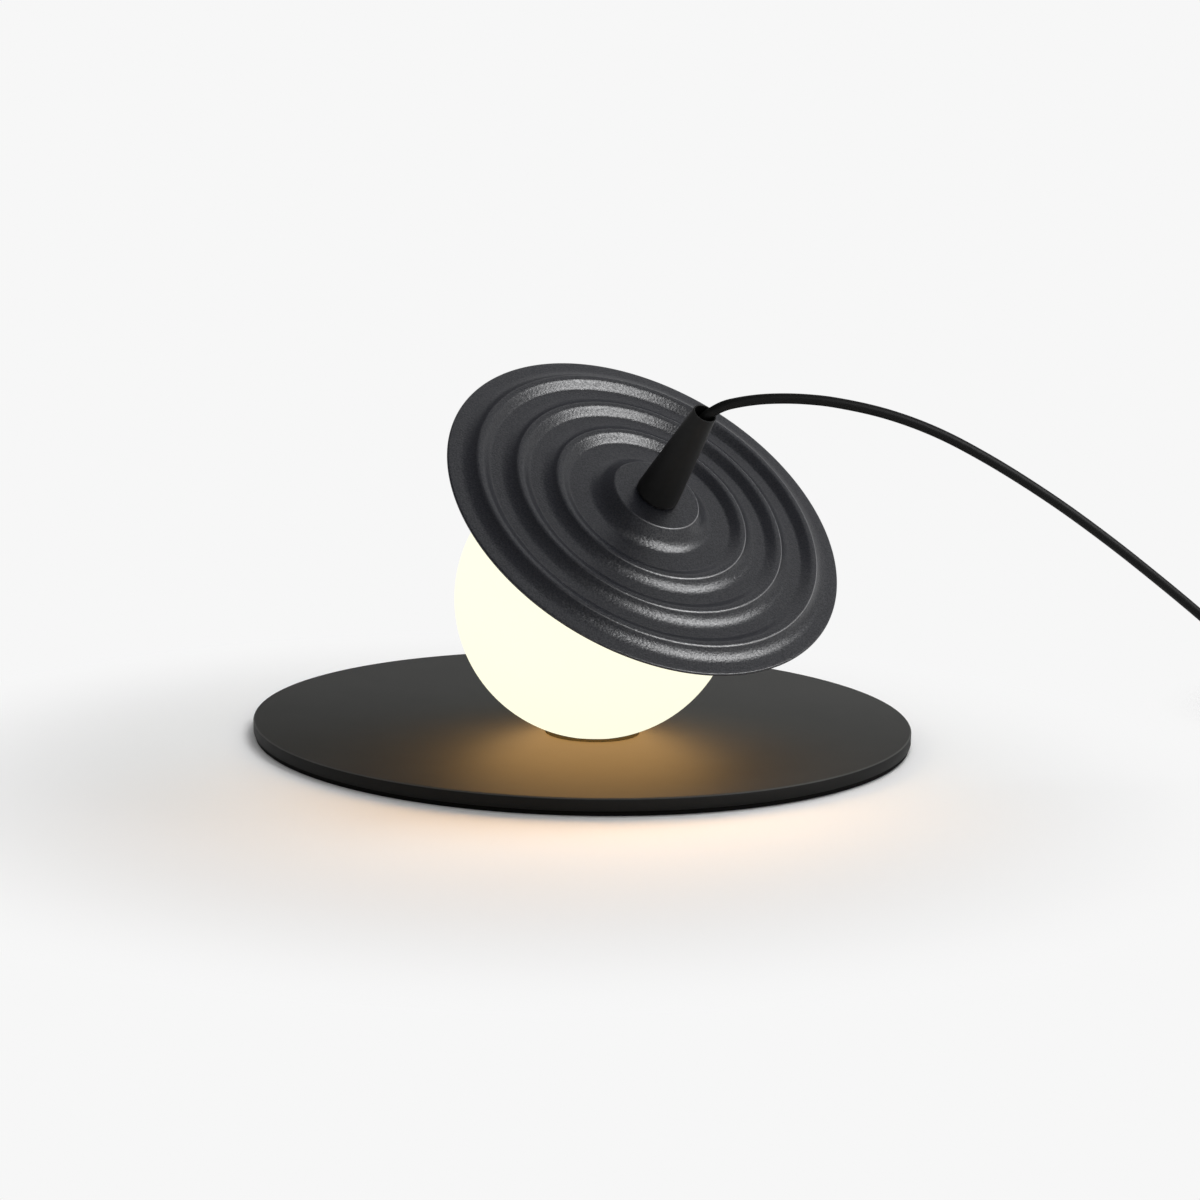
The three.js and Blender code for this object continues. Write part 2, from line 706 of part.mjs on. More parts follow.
function buildCoil() {
  const { points, centre } = coilLine();
  const halfTurnSteps = Math.round(coilStepsPerTurn / 2);
  const gap = leastGap(points, cordDiameter, halfTurnSteps);
  console.log("cord_coil: least gap to itself", gap.toFixed(2), "mm");
  add(lamp, "cord_coil", coilTube(points, cordDiameter, coilSides), "cordBlack");

  // Band round the bundle on the side of the switch and plug
  const bandGap = 0.45;
  const bandThickness = 0.8;
  const bandWidth = 5;
  const lowShare = 0.25;
  const innerTurn = coilOuterTurnRadius - (coilTurnsPerLayer - lowShare) * coilPitch;
  const inner = innerTurn - cordRadius - bandGap;
  const outer = coilOuterTurnRadius - (1 - lowShare) * coilPitch + cordRadius + bandGap;
  const low = coilFloorHeight - cordRadius - bandGap;
  const high = coilFloorHeight + coilPitch + cordRadius + bandGap;
  const band = (grow, width) => {
    const [halfX, halfY] = [width / 2, (outer - inner) / 2 + grow];
    const [middle, height] = [-(inner + outer) / 2, (low + high) / 2];
    const corner = cordRadius + grow;
    const upright = roundedRing(halfY, (high - low) / 2 + grow, corner, 0);
    const rings = [-halfX, halfX].map((x) => upright.map(([y, z]) => [x, middle + y, height + z]));
    return loft(rings);
  };
  const tie = cut(band(bandThickness, bandWidth), band(0, bandWidth + 2 * cutOverrun));
  add(lamp, "cord_tie", tie.translate(centre[0], centre[1], 0), "rubberBlack");
}

// Switch in the cord: two shells, a rocker, contacts, screws and a sleeve at each end
function buildSwitch() {
  const group = new THREE.Group();
  group.position.set(switchCentre[0], switchCentre[1], 0);
  lamp.add(group);
  const halfX = switchWidth / 2;
  const halfY = switchLength / 2;
  const corner = halfX - clearance;
  const edge = 1.4;
  const partingLow = cordHeightInSwitch - clearance / 2;
  const partingHigh = cordHeightInSwitch + clearance / 2;
  const outline = (inset, height) =>
    roundedRing(halfX - inset, halfY - inset, corner - inset, height);

  const holeRadius = cordRadius + 2 * clearance;
  const throughHole = () => bar(holeRadius, switchLength + 2 * cutOverrun, "y", 0, 0, cordHeightInSwitch);
  const screwShares = [0.55, 0.62];
  const screwPlaces = [-1, 1].map((side) => [side * halfX * screwShares[0], side * halfY * screwShares[1]]);
  const screwHeadRadius = 2.3;
  const screwRadius = 1.2;
  const screwHeadHeight = 1.8;
  const bossRadius = screwHeadRadius + sheetWall;
  const screwTop = switchHeight - 2 * switchWall;

  let lower = loft([outline(edge, 0), outline(0, edge), outline(0, partingLow)]);
  lower = cut(lower, loft([outline(switchWall, switchWall), outline(switchWall, partingLow + cutOverrun)]));
  let upper = loft([
    outline(0, partingHigh),
    outline(0, switchHeight - 2 * edge),
    outline(edge / 2, switchHeight - edge / 2),
    outline(2 * edge, switchHeight),
  ]);
  upper = cut(upper, loft([
    outline(switchWall, partingHigh - cutOverrun),
    outline(switchWall, switchHeight - 2 * switchWall),
    outline(2 * switchWall, switchHeight - switchWall),
  ]));
  for (const [x, y] of screwPlaces) {
    const boss = disc(bossRadius, switchWall / 2, partingLow, smallSides).translate(x, y, 0);
    const post = disc(bossRadius, partingHigh, switchHeight - switchWall / 2, smallSides).translate(x, y, 0);
    const headHole = disc(screwHeadRadius + clearance, -cutOverrun, screwHeadHeight + clearance, smallSides);
    const lowHole = disc(screwRadius + clearance, -cutOverrun, partingLow + cutOverrun, smallSides);
    const highStart = partingHigh - cutOverrun;
    const highHole = disc(screwRadius + clearance, highStart, screwTop + clearance, smallSides);
    lower = cut(join(lower, boss), headHole.translate(x, y, 0), lowHole.translate(x, y, 0));
    upper = cut(join(upper, post), highHole.translate(x, y, 0));
  }

  // Rocker on a cross pin, its ends round about that pin
  const rockerRadius = 8.2;
  const rockerWidth = 11;
  const pivotInset = 3;
  const pivotHeight = switchHeight - pivotInset;
  const windowGap = 2 * clearance;
  const window = box(
    rockerWidth + 2 * windowGap,
    2 * (rockerRadius + windowGap),
    4 * switchWall,
    0, 0, switchHeight,
  );
  upper = cut(upper, window, throughHole());
  lower = cut(lower, throughHole());
  add(group, "switch_base", lower, "plasticBlack");
  add(group, "switch_cover", upper, "plasticBlack");

  const rockerLean = 7;
  const endAngle = 0.42;
  const endSweepShare = 1.5;
  const endSteps = 4;
  const dip = 1.6;
  const nose = 5;
  const profile = new THREE.Shape();
  const point = (angle) => [rockerRadius * Math.cos(angle), rockerRadius * Math.sin(angle)];
  profile.moveTo(...point(-endAngle / 2));
  const sweep = (i) => (endSweepShare * endAngle * i) / endSteps;
  for (let i = 1; i <= endSteps; i++) profile.lineTo(...point(-endAngle / 2 + sweep(i)));
  profile.lineTo(0, dip);
  for (let i = 0; i <= endSteps; i++) profile.lineTo(...point(Math.PI - endAngle + sweep(i)));
  profile.lineTo(0, -nose);
  profile.closePath();
  const rocker = new THREE.ExtrudeGeometry(profile, { depth: rockerWidth, bevelEnabled: false });
  rocker.translate(0, 0, -rockerWidth / 2);
  rocker.rotateY(Math.PI / 2).rotateX(Math.PI / 2);
  const rockerMesh = add(group, "switch_rocker", solid(rocker), "plasticBlack");
  rockerMesh.position.z = pivotHeight;
  rockerMesh.rotation.x = THREE.MathUtils.degToRad(-rockerLean);

  // Contacts under the rocker
  const terminalWidth = 7;
  const terminalDepth = 6;
  const terminalHeight = 4;
  const terminalY = rockerRadius + terminalDepth;
  [-1, 1].forEach((side, i) => {
    const height = switchWall + clearance + terminalHeight / 2;
    const shiftX = side * (cordRadius + 2 * clearance + terminalWidth / 2);
    const block = box(terminalWidth, terminalDepth, terminalHeight, -shiftX, side * terminalY, height);
    add(group, `switch_terminal_${i + 1}`, block, "brass");
  });
  const leafWidth = 5;
  const leafThickness = 0.5;
  const leafHeight = switchWall + clearance + leafThickness;
  add(group, "switch_leaf", box(leafWidth, 2 * rockerRadius, leafThickness, 0, 0, leafHeight), "copper");

  screwPlaces.forEach(([x, y], i) => {
    const shaft = disc(screwRadius, screwHeadHeight / 2, screwTop, smallSides);
    const screwHead = disc(screwHeadRadius, clearance, screwHeadHeight, smallSides);
    add(group, `switch_screw_${i + 1}`, join(shaft, screwHead).translate(x, y, 0), "steel");
  });

  // Tapered sleeves, each with a flange inside the shells
  const sleeveLength = 14;
  const sleeveBore = cordRadius + clearance;
  const flangeShare = 1.4;
  const neck = holeRadius - clearance / 2;
  [-1, 1].forEach((side, i) => {
    const outside = halfY + clearance;
    const sleeve = lathe([
      [sleeveBore, outside],
      [neck + flangeShare * sheetWall, outside],
      [neck + sheetWall, outside + sleeveLength / 6],
      [sleeveBore + sheetWall / 2, outside + sleeveLength],
      [sleeveBore, outside + sleeveLength],
    ], smallSides);
    sleeve.rotateX((-side * Math.PI) / 2).translate(0, 0, cordHeightInSwitch);
    add(group, `switch_sleeve_${i + 1}`, sleeve, "rubberBlack");
  });
}

// Two-pin plug with its tapered relief
function buildPlug() {
  const group = new THREE.Group();
  const [plugX, plugHeight] = [tailPoints.at(-1)[0], tailPoints.at(-1)[2]];
  group.position.set(plugX, plugBackY, plugHeight);
  lamp.add(group);
  const [halfX, halfZ] = [plugWidth / 2, plugThickness / 2 - clearance];
  const bodyShares = [[0, 0.32], [0.12, 0.46], [0.34, 0.78], [0.6, 1], [0.92, 1], [1, 0.95]];
  const rings = bodyShares.map(([along, wide]) =>
    roundedRing(halfX * wide, halfZ * Math.min(1, wide + 1 / 5), (halfZ * wide) / 2, 0)
      .map(([x, z]) => [x, -along * plugLength, z]));
  const cordHole = bar(cordRadius + clearance, plugLength / 2, "y", 0, 0, 0);
  const pinDepth = 7;
  const pinRadius = pinDiameter / 2;
  const pinHoles = [-1, 1].map((side) =>
    bar(pinRadius + clearance, 2 * pinDepth, "y", (side * pinSpacing) / 2, -plugLength, 0));
  add(group, "plug_body", cut(loft(rings), cordHole, ...pinHoles), "plasticBlack");
  [-1, 1].forEach((side, i) => {
    const length = pinLength + pinDepth - clearance;
    const tip = plugLength + pinLength;
    const pin = lathe([
      [0, 0],
      [pinRadius, 0],
      [pinRadius, length - pinRadius],
      [pinRadius / 2, length],
      [0, length],
    ], smallSides);
    pin.rotateX(Math.PI / 2).translate((side * pinSpacing) / 2, length - tip, 0);
    add(group, `plug_pin_${i + 1}`, pin, "brass");
  });
  const reliefLength = 20;
  const bore = cordRadius + clearance;
  const relief = lathe([
    [bore, clearance],
    [bore + 2 * sheetWall, clearance],
    [bore + sheetWall / 2, reliefLength],
    [bore, reliefLength],
  ], smallSides);
  add(group, "plug_relief", relief.rotateX(-Math.PI / 2), "rubberBlack");
}

buildBase();
buildSeatRing();
buildGlobe();
buildFitter();
const holderTop = buildShade();
const { sheathEnd, bulbTop } = buildHolder(holderTop);
buildStem(sheathEnd);
buildBulb(bulbTop);
buildCord();
buildCoil();
buildSwitch();
buildPlug();

export default lamp;
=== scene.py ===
import json
import math

import bpy
from mathutils import Matrix, Vector


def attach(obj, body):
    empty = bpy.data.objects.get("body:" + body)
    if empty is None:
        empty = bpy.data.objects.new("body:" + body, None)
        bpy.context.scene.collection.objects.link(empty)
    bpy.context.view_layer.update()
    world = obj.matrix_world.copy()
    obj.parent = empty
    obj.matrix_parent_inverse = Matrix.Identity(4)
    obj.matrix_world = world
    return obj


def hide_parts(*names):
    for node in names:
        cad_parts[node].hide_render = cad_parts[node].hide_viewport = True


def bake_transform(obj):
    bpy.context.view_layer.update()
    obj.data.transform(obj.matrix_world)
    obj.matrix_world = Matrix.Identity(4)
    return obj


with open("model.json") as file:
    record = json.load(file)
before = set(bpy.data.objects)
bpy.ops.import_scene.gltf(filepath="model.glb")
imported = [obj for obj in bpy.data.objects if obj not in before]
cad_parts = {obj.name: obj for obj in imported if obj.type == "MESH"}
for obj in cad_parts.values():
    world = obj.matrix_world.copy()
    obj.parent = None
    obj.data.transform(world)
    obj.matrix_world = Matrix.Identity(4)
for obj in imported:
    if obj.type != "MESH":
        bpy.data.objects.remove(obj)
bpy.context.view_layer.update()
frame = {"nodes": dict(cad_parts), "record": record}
nodes = frame["nodes"]
mm = 0.001

# Camera of the photograph: place in metres in the shared frame, lens and sensor in millimetres
camera_place = (-0.167456, -1.24429, 0.293161)
camera_right = Vector((0.99051, -0.13566, 0.02199))
camera_up = Vector((0.00214, 0.17524, 0.98452))
camera_lens = 71.88
sensor_width = 36

# Sizes of the lamp in millimetres, its lean and heading in degrees
plate_radius = 175
plate_top = 8.7
pad_thickness = 2.3
pad_inset = 0.8
seat_offset = 37.9
seat_inner = 19.6
seat_width = 4.6
globe_radius = 72.5
globe_wall = 2.6
globe_sink = 2.4
neck_radius = 41
neck_length = 4.8
lip_projection = 2.2
lip_height = 1.8
lean = 39.7
heading = -61.8
clearance = 0.3
sheet_wall = 1.2
shade_radius = 106
shade_wall = 1.5
shade_dish = 6
platform_radius = 22
platform_height = 11.8
ridge_pitch = 20.5
outer_ridge_inset = 14.7
ridge_height = 3.6
nipple_radius = 5
stem_bottom = 78.3
stem_length = 56.5
stem_base_radius = 11.1
stem_tip_radius = 6
stem_mouth = 5.3
mouth_depth = 14.8
cord_diameter = 5.1

neck_base = math.sqrt(globe_radius**2 - neck_radius**2)
neck_top = neck_base + neck_length
lip_radius = neck_radius + lip_projection
platform_top = stem_bottom - clearance
shade_rim = platform_top - platform_height
stem_top = stem_bottom + stem_length
cord_radius = cord_diameter / 2
cord_bore = cord_radius + clearance
crest_radii = [shade_radius - outer_ridge_inset - i * ridge_pitch for i in range(3)]

# Mesh settings: sides of a large circle, angle of a sharp edge in degrees, and a length that counts as nil
round_sides = 192
sharp_angle = 32
tiny = 1e-6

seat_place = Matrix.Translation((0, -seat_offset, plate_top))
globe_centre = Vector((0, -seat_offset, plate_top + globe_radius - globe_sink))
turned = Matrix.Rotation(math.radians(heading), 4, "Z") @ Matrix.Rotation(math.radians(lean), 4, "Y")
head_place = Matrix.Translation(globe_centre) @ turned


def make_camera():
    """Camera at the photograph's place and angle."""
    back = camera_right.cross(camera_up).normalized()
    camera = bpy.data.cameras.new("photo_camera")
    camera.lens = camera_lens
    camera.sensor_width = sensor_width
    camera.clip_start = 0.01
    holder = bpy.data.objects.new("photo_camera", camera)
    bpy.context.collection.objects.link(holder)
    turn = Matrix((camera_right, camera_up, back)).transposed().to_4x4()
    holder.matrix_world = Matrix.Translation(camera_place) @ turn
    bpy.context.scene.camera = holder


# Mesh helpers. They take millimetres and give pieces in metres.
def piece(name, points, faces, body, material, smooth_angle=sharp_angle, place=None):
    """Mesh object that rides on the named body, if there is one."""
    mesh = bpy.data.meshes.new(name)
    mesh.from_pydata([tuple(p) for p in points], [], faces)
    mesh.transform(Matrix.Scale(mm, 4) @ (place or Matrix.Identity(4)))
    mesh.validate()
    mesh.shade_smooth()
    mesh.set_sharp_from_angle(angle=math.radians(smooth_angle))
    made = bpy.data.objects.new(name, mesh)
    bpy.context.collection.objects.link(made)
    if material:
        mesh.materials.append(material)
    if body:
        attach(made, body)
    return made


def facing_out(points, faces):
    """Turns all faces over when the closed form they make is inside out."""
    volume = 0
    for face in faces:
        a = Vector(points[face[0]])
        for i in range(1, len(face) - 1):
            volume += a.dot(Vector(points[face[i]]).cross(Vector(points[face[i + 1]])))
    return faces if volume > 0 else [tuple(reversed(face)) for face in faces]


def skin(rings, closed_rows=False, caps=True):
    """Points and faces through rings of equal counts. A ring of one point is a tip."""
    points = []
    starts = []
    for ring in rings:
        starts.append((len(points), len(ring)))
        points.extend(ring)
    faces = []
    pairs = list(zip(starts, starts[1:]))
    if closed_rows:
        pairs.append((starts[-1], starts[0]))
    for (a, count_a), (b, count_b) in pairs:
        count = max(count_a, count_b)
        for i in range(count):
            j = (i + 1) % count
            if count_a == 1:
                faces.append((a, b + j, b + i))
            elif count_b == 1:
                faces.append((a + i, a + j, b))
            else:
                faces.append((a + i, a + j, b + j, b + i))
    if caps and not closed_rows:
        for (start, count), last in ((starts[0], False), (starts[-1], True)):
            if count > 1:
                cap = tuple(range(start, start + count))
                faces.append(cap if last else tuple(reversed(cap)))
    return points, facing_out(points, faces)


def circle(radius, height, centre=(0, 0), sides=round_sides, wave=None):
    """Ring of points, or one point where the radius is nil. The wave adds to the radius."""
    if radius < tiny:
        return [(centre[0], centre[1], height)]
    ring = []
    for i in range(sides):
        angle = 2 * math.pi * i / sides
        r = radius + (wave(i) if wave else 0)
        ring.append((centre[0] + r * math.cos(angle), centre[1] + r * math.sin(angle), height))
    return ring


def revolve(name, outline, place, body, material, sides=round_sides):
    """Solid of revolution: the outline runs from axis to axis, or closes on itself."""
    open_outline = outline[0][0] < tiny and outline[-1][0] < tiny
    rings = [circle(r, h, sides=sides) for r, h in outline]
    points, faces = skin(rings, closed_rows=not open_outline)
    return piece(name, points, faces, body, material, place=place)


def soften(outline, radius, steps=4, closed=True):
    """Outline with its corners rounded by about that radius, or less where a side is short."""
    share_of_side = 0.45
    shortest = 1e-4
    count = len(outline)
    softened = []
    for i, corner in enumerate(outline):
        at_end = not closed and i in (0, count - 1)
        here = Vector(corner)
        before, after = Vector(outline[i - 1]), Vector(outline[(i + 1) % count])
        side = min((before - here).length, (after - here).length)
        reach = min(radius, side * share_of_side)
        if at_end or reach < shortest:
            softened.append(tuple(here))
            continue
        first = here + (before - here).normalized() * reach
        last = here + (after - here).normalized() * reach
        for k in range(steps + 1):
            t = k / steps
            softened.append(tuple(first * (1 - t) ** 2 + here * 2 * t * (1 - t) + last * t * t))
    return softened


def arc(radius, start, end, steps, centre=0):
    """Radius and height pairs along a circle about a point on the axis."""
    angles = [start + (end - start) * i / steps for i in range(steps + 1)]
    return [(max(radius * math.cos(a), 0), centre + radius * math.sin(a)) for a in angles]


def between(t, start, start_slope, end, end_slope):
    """Place on a cubic course from start to end, for numbers or vectors."""
    a, b = 2 * t**3 - 3 * t**2 + 1, t**3 - 2 * t**2 + t
    c, d = -2 * t**3 + 3 * t**2, t**3 - t**2
    return start * a + start_slope * b + end * c + end_slope * d


def spline(points, span_steps=10):
    """Centripetal curve through the points."""
    knots = [Vector(p) for p in points]
    ends = [knots[0] * 2 - knots[1], *knots, knots[-1] * 2 - knots[-2]]
    line = []
    for p0, p1, p2, p3 in zip(ends, ends[1:], ends[2:], ends[3:]):
        d1, d2, d3 = [max((b - a).length, tiny) ** 0.5 for a, b in ((p0, p1), (p1, p2), (p2, p3))]
        slope1 = (p1 - p0) / d1 - (p2 - p0) / (d1 + d2) + (p2 - p1) / d2
        slope2 = (p2 - p1) / d2 - (p3 - p1) / (d2 + d3) + (p3 - p2) / d3
        for k in range(span_steps):
            line.append(between(k / span_steps, p1, slope1 * d2, p2, slope2 * d2))
    line.append(knots[-1])
    return line


def spline_pairs(pairs, steps):
    """Smooth course through pairs whose first number grows."""
    line = spline([(a, b, 0) for a, b in pairs], steps)
    return [(p.x, p.y) for p in line]


def tube(name, line, diameter, body, material, sides=20):
    """Round tube along a line, with flat ends."""
    angles = [2 * math.pi * k / sides for k in range(sides)]
    rings = []
    normal = (line[1] - line[0]).normalized().orthogonal().normalized()
    for i, here in enumerate(line):
        ahead = (line[min(i + 1, len(line) - 1)] - line[max(i - 1, 0)]).normalized()
        normal = (normal - ahead * normal.dot(ahead)).normalized()
        other = ahead.cross(normal)
        rings.append([here + (normal * math.cos(a) + other * math.sin(a)) * diameter / 2 for a in angles])
    points, faces = skin(rings)
    return piece(name, points, faces, body, material, smooth_angle=50)


def rounded_ring(half_x, half_y, corner, steps=10):
    """Points of a rounded rectangle, as pairs."""
    ring = []
    for quarter, (sx, sy) in enumerate(((1, 1), (-1, 1), (-1, -1), (1, -1))):
        for i in range(steps + 1):
            angle = math.pi / 2 * (quarter + i / steps)
            x = sx * (half_x - corner) + corner * math.cos(angle)
            y = sy * (half_y - corner) + corner * math.sin(angle)
            ring.append((x, y))
    return ring


def cut(made, *cutters):
    """Takes closed pieces out of a piece and removes them. Its other modifiers are applied too."""
    for tool in cutters:
        modifier = made.modifiers.new("cut", "BOOLEAN")
        modifier.operation = "DIFFERENCE"
        modifier.solver = "EXACT"
        modifier.object = tool
    graph = bpy.context.evaluated_depsgraph_get()
    mesh = bpy.data.meshes.new_from_object(made.evaluated_get(graph))
    made.modifiers.clear()
    made.data = mesh
    mesh.set_sharp_from_angle(angle=math.radians(sharp_angle))
    for tool in cutters:
        bpy.data.objects.remove(tool)


# Node helpers
def map_range(tree, source, from_min=0, from_max=1, to_min=0, to_max=1, smooth=False):
    """Output of a node that maps one range of values to another."""
    made = tree.nodes.new("ShaderNodeMapRange")
    if smooth:
        made.interpolation_type = "SMOOTHSTEP"
    ends = {"From Min": from_min, "From Max": from_max, "To Min": to_min, "To Max": to_max}
    for name, value in ends.items():
        made.inputs[name].default_value = value
    tree.links.new(source, made.inputs["Value"])
    return made.outputs["Result"]


def reckon(tree, kind, operation, *sources, output="Value"):
    """Output of a maths node that is fed by sockets or by plain values."""
    made = tree.nodes.new(kind)
    made.operation = operation
    for socket, source in zip(made.inputs, sources):
        if isinstance(source, bpy.types.NodeSocket):
            tree.links.new(source, socket)
        else:
            socket.default_value = source
    return made.outputs[output]


def camera_or_gloss(tree):
    """One where a ray comes from the camera, a reflection or through glass."""
    rays = tree.nodes.new("ShaderNodeLightPath")
    total = rays.outputs["Is Camera Ray"]
    for kind in ("Is Glossy Ray", "Is Transmission Ray"):
        total = reckon(tree, "ShaderNodeMath", "MAXIMUM", total, rays.outputs[kind])
    return total


# Materials
def surface(name, colour, roughness, metallic=0, vary=0.12, vary_scale=60, grain_scale=1400, grain_depth=0.02,
            rough_vary=0.06, specular=0.5, emission=None, strength=0, fleck_scale=None):
    """Shader with uneven colour and roughness, a fine grain and, with a fleck scale, uneven sheen.

    Scales count features in a metre, and the grain's depth is in millimetres.
    """
    material = bpy.data.materials.new(name)
    material.use_nodes = True
    tree = material.node_tree
    shader = tree.nodes["Principled BSDF"]
    shader.inputs["Metallic"].default_value = metallic
    shader.inputs["Specular IOR Level"].default_value = specular
    place = tree.nodes.new("ShaderNodeTexCoord").outputs["Object"]

    def noise(scale, detail):
        made = tree.nodes.new("ShaderNodeTexNoise")
        made.inputs["Scale"].default_value = scale
        made.inputs["Detail"].default_value = detail
        tree.links.new(place, made.inputs["Vector"])
        return made.outputs["Fac"]

    blotches = noise(vary_scale, 4)
    grain = noise(grain_scale, 2)
    mixed = tree.nodes.new("ShaderNodeMix")
    mixed.data_type = "RGBA"
    mixed.inputs["A"].default_value = (*[c * (1 - vary) for c in colour], 1)
    mixed.inputs["B"].default_value = (*[min(c * (1 + vary), 1) for c in colour], 1)
    tree.links.new(blotches, mixed.inputs["Factor"])
    tree.links.new(mixed.outputs["Result"], shader.inputs["Base Color"])

    smoothest = 0.02
    rough = map_range(tree, grain, to_min=max(roughness - rough_vary, smoothest),
                      to_max=min(roughness + rough_vary, 1))
    tree.links.new(rough, shader.inputs["Roughness"])

    bump = tree.nodes.new("ShaderNodeBump")
    bump.inputs["Strength"].default_value = 1
    bump.inputs["Distance"].default_value = grain_depth * mm
    tree.links.new(grain, bump.inputs["Height"])
    tree.links.new(bump.outputs["Normal"], shader.inputs["Normal"])
    if fleck_scale:
        noise_low, noise_high = 0.36, 0.64
        dull, bright = specular * 0.68, specular * 1.32
        fleck = map_range(tree, noise(fleck_scale, 1), noise_low, noise_high, dull, bright)
        tree.links.new(fleck, shader.inputs["Specular IOR Level"])
    if emission:
        shader.inputs["Emission Color"].default_value = (*emission, 1)
        shader.inputs["Emission Strength"].default_value = strength
    return material


def paint_shade_by_slope(material, side, top):
    """Painted shade and highlight: dims the colour on side walls and on top, and leaves the edge that faces
    half up light as a painted highlight line.
    """
    tree = material.node_tree
    shader = tree.nodes["Principled BSDF"]
    parts = tree.nodes.new("ShaderNodeSeparateXYZ")
    tree.links.new(tree.nodes.new("ShaderNodeTexCoord").outputs["Normal"], parts.inputs["Vector"])
    ramp = tree.nodes.new("ShaderNodeValToRGB")
    stops = ramp.color_ramp.elements
    stops[0].color = (side, side, side, 1)
    stops[1].color = (top, top, top, 1)
    # Side walls get painted shade, and the chamfer band between these stops keeps the full colour as a
    # painted highlight
    for facing_up, tone in ((0.35, side), (0.6, 1), (0.8, 1)):
        stops.new(facing_up).color = (tone, tone, tone, 1)
    tree.links.new(parts.outputs["Z"], ramp.inputs["Fac"])
    painted_shading = tree.nodes.new("ShaderNodeMix")
    painted_shading.data_type = "RGBA"
    painted_shading.blend_type = "MULTIPLY"
    painted_shading.inputs["Factor"].default_value = 1
    tree.links.new(shader.inputs["Base Color"].links[0].from_socket, painted_shading.inputs["A"])
    tree.links.new(ramp.outputs["Color"], painted_shading.inputs["B"])
    tree.links.new(painted_shading.outputs["Result"], shader.inputs["Base Color"])
    return material


def paint_crest_glints(material, tone, half_width):
    """Paints a highlight: lightens a thin ring along each crest and the platform's edge, on the lower right
    side, as painted glints.
    """
    tree = material.node_tree
    shader = tree.nodes["Principled BSDF"]

    def vector(operation, *sources, output="Vector"):
        return reckon(tree, "ShaderNodeVectorMath", operation, *sources, output=output)

    def number(operation, *sources):
        return reckon(tree, "ShaderNodeMath", operation, *sources)

    def ring(distance):
        return map_range(tree, distance, 0, half_width * mm, 1, 0, smooth=True)

    turn = turned.to_3x3()
    axis = turn @ Vector((0, 0, 1))
    place = tree.nodes.new("ShaderNodeTexCoord").outputs["Object"]
    from_centre = vector("SUBTRACT", place, globe_centre * mm)
    radius = vector("LENGTH", vector("CROSS_PRODUCT", from_centre, axis), output="Value")
    from_outer = number("SUBTRACT", radius, (crest_radii[0] + crest_line_offset) * mm)
    from_crest = number("PINGPONG", from_outer, ridge_pitch / 2 * mm)
    on_ridges = number("GREATER_THAN", radius, platform_foot * mm)
    crests = number("MULTIPLY", ring(from_crest), on_ridges)
    past_edge = number("SUBTRACT", radius, (platform_radius + crest_line_offset) * mm)
    lines = number("MAXIMUM", ring(number("ABSOLUTE", past_edge)), crests)

    # The painted glint lines are fullest towards the lower right, and nearly gone on the far side
    lower_right = turn @ Vector((0.5, 0.87, 0))
    cosine = number("DIVIDE", vector("DOT_PRODUCT", from_centre, lower_right, output="Value"), radius)
    share = map_range(tree, cosine, -0.6, 0.35, 0.05, 1, smooth=True)
    glint_mix = tree.nodes.new("ShaderNodeMix")
    glint_mix.data_type = "RGBA"
    glint_mix.inputs["B"].default_value = (*tone, 1)
    tree.links.new(number("MULTIPLY", lines, share), glint_mix.inputs["Factor"])
    tree.links.new(shader.inputs["Base Color"].links[0].from_socket, glint_mix.inputs["A"])
    tree.links.new(glint_mix.outputs["Result"], shader.inputs["Base Color"])
    return material


def make_materials():
    return {
        # The shade's paint carries painted glints: light lines along the crests, in the light tone given
        # below
        "shade_paint": paint_crest_glints(surface("shade_paint", (0.0166, 0.0176, 0.0232), 0.32, grain_scale=760,
                                           grain_depth=0.13, rough_vary=0.09, fleck_scale=1300),
                                   tone=(0.27, 0.27, 0.28), half_width=0.42),
        # The plate's paint has painted shade on its side walls and a painted highlight on its top chamfer
        "plate_paint": paint_shade_by_slope(surface("plate_paint", (0.07, 0.07, 0.066), 0.62, grain_scale=2200,
                                             grain_depth=0.03, specular=0.14), side=0.12, top=0.4),
        "stem_paint": surface("stem_paint", (0.0085, 0.0085, 0.0085), 0.5, grain_depth=0.02, specular=0.2),
        # The seat ring's brown is painted light: lighter and warmer than its black rubber, standing in for
        # the globe's glow falling on it
        "seat_rubber": surface("seat_rubber", (0.1, 0.08, 0.04), 0.8, grain_scale=900, specular=0.06),
        "soft_black": surface("soft_black", (0.004, 0.004, 0.0035), 0.85, grain_scale=900, specular=0.06),
        "cord_black": surface("cord_black", (0.005, 0.005, 0.005), 0.5, grain_scale=700, specular=0.12),
        "black_plastic": surface("black_plastic", (0.012, 0.012, 0.012), 0.38, grain_scale=1800),
        "white_plastic": surface("white_plastic", (0.8, 0.8, 0.76), 0.35, vary=0.04),
        "led_board": surface("led_board", (0.82, 0.82, 0.78), 0.4, vary=0.06, vary_scale=300),
        "steel": surface("steel", (0.56, 0.56, 0.57), 0.28, metallic=1, vary=0.1, vary_scale=200),
        "brass": surface("brass", (0.62, 0.43, 0.17), 0.25, metallic=1, vary=0.14, vary_scale=150),
        "copper": surface("copper", (0.66, 0.33, 0.17), 0.3, metallic=1, vary=0.14, vary_scale=150),
        "core": surface("core", (0.2, 0.11, 0.06), 0.4, vary=0.08),
        "bulb_opal": surface("bulb_opal", (0.9, 0.88, 0.8), 0.4, emission=(1, 0.82, 0.55), strength=3),
        "opal_glass": surface("opal_glass", (0.2, 0.2, 0.14), 0.4, vary=0.05, vary_scale=14,
                              grain_depth=0.004, rough_vary=0.03, specular=0, emission=(1, 0.99, 0.79),
                              strength=1),
    }


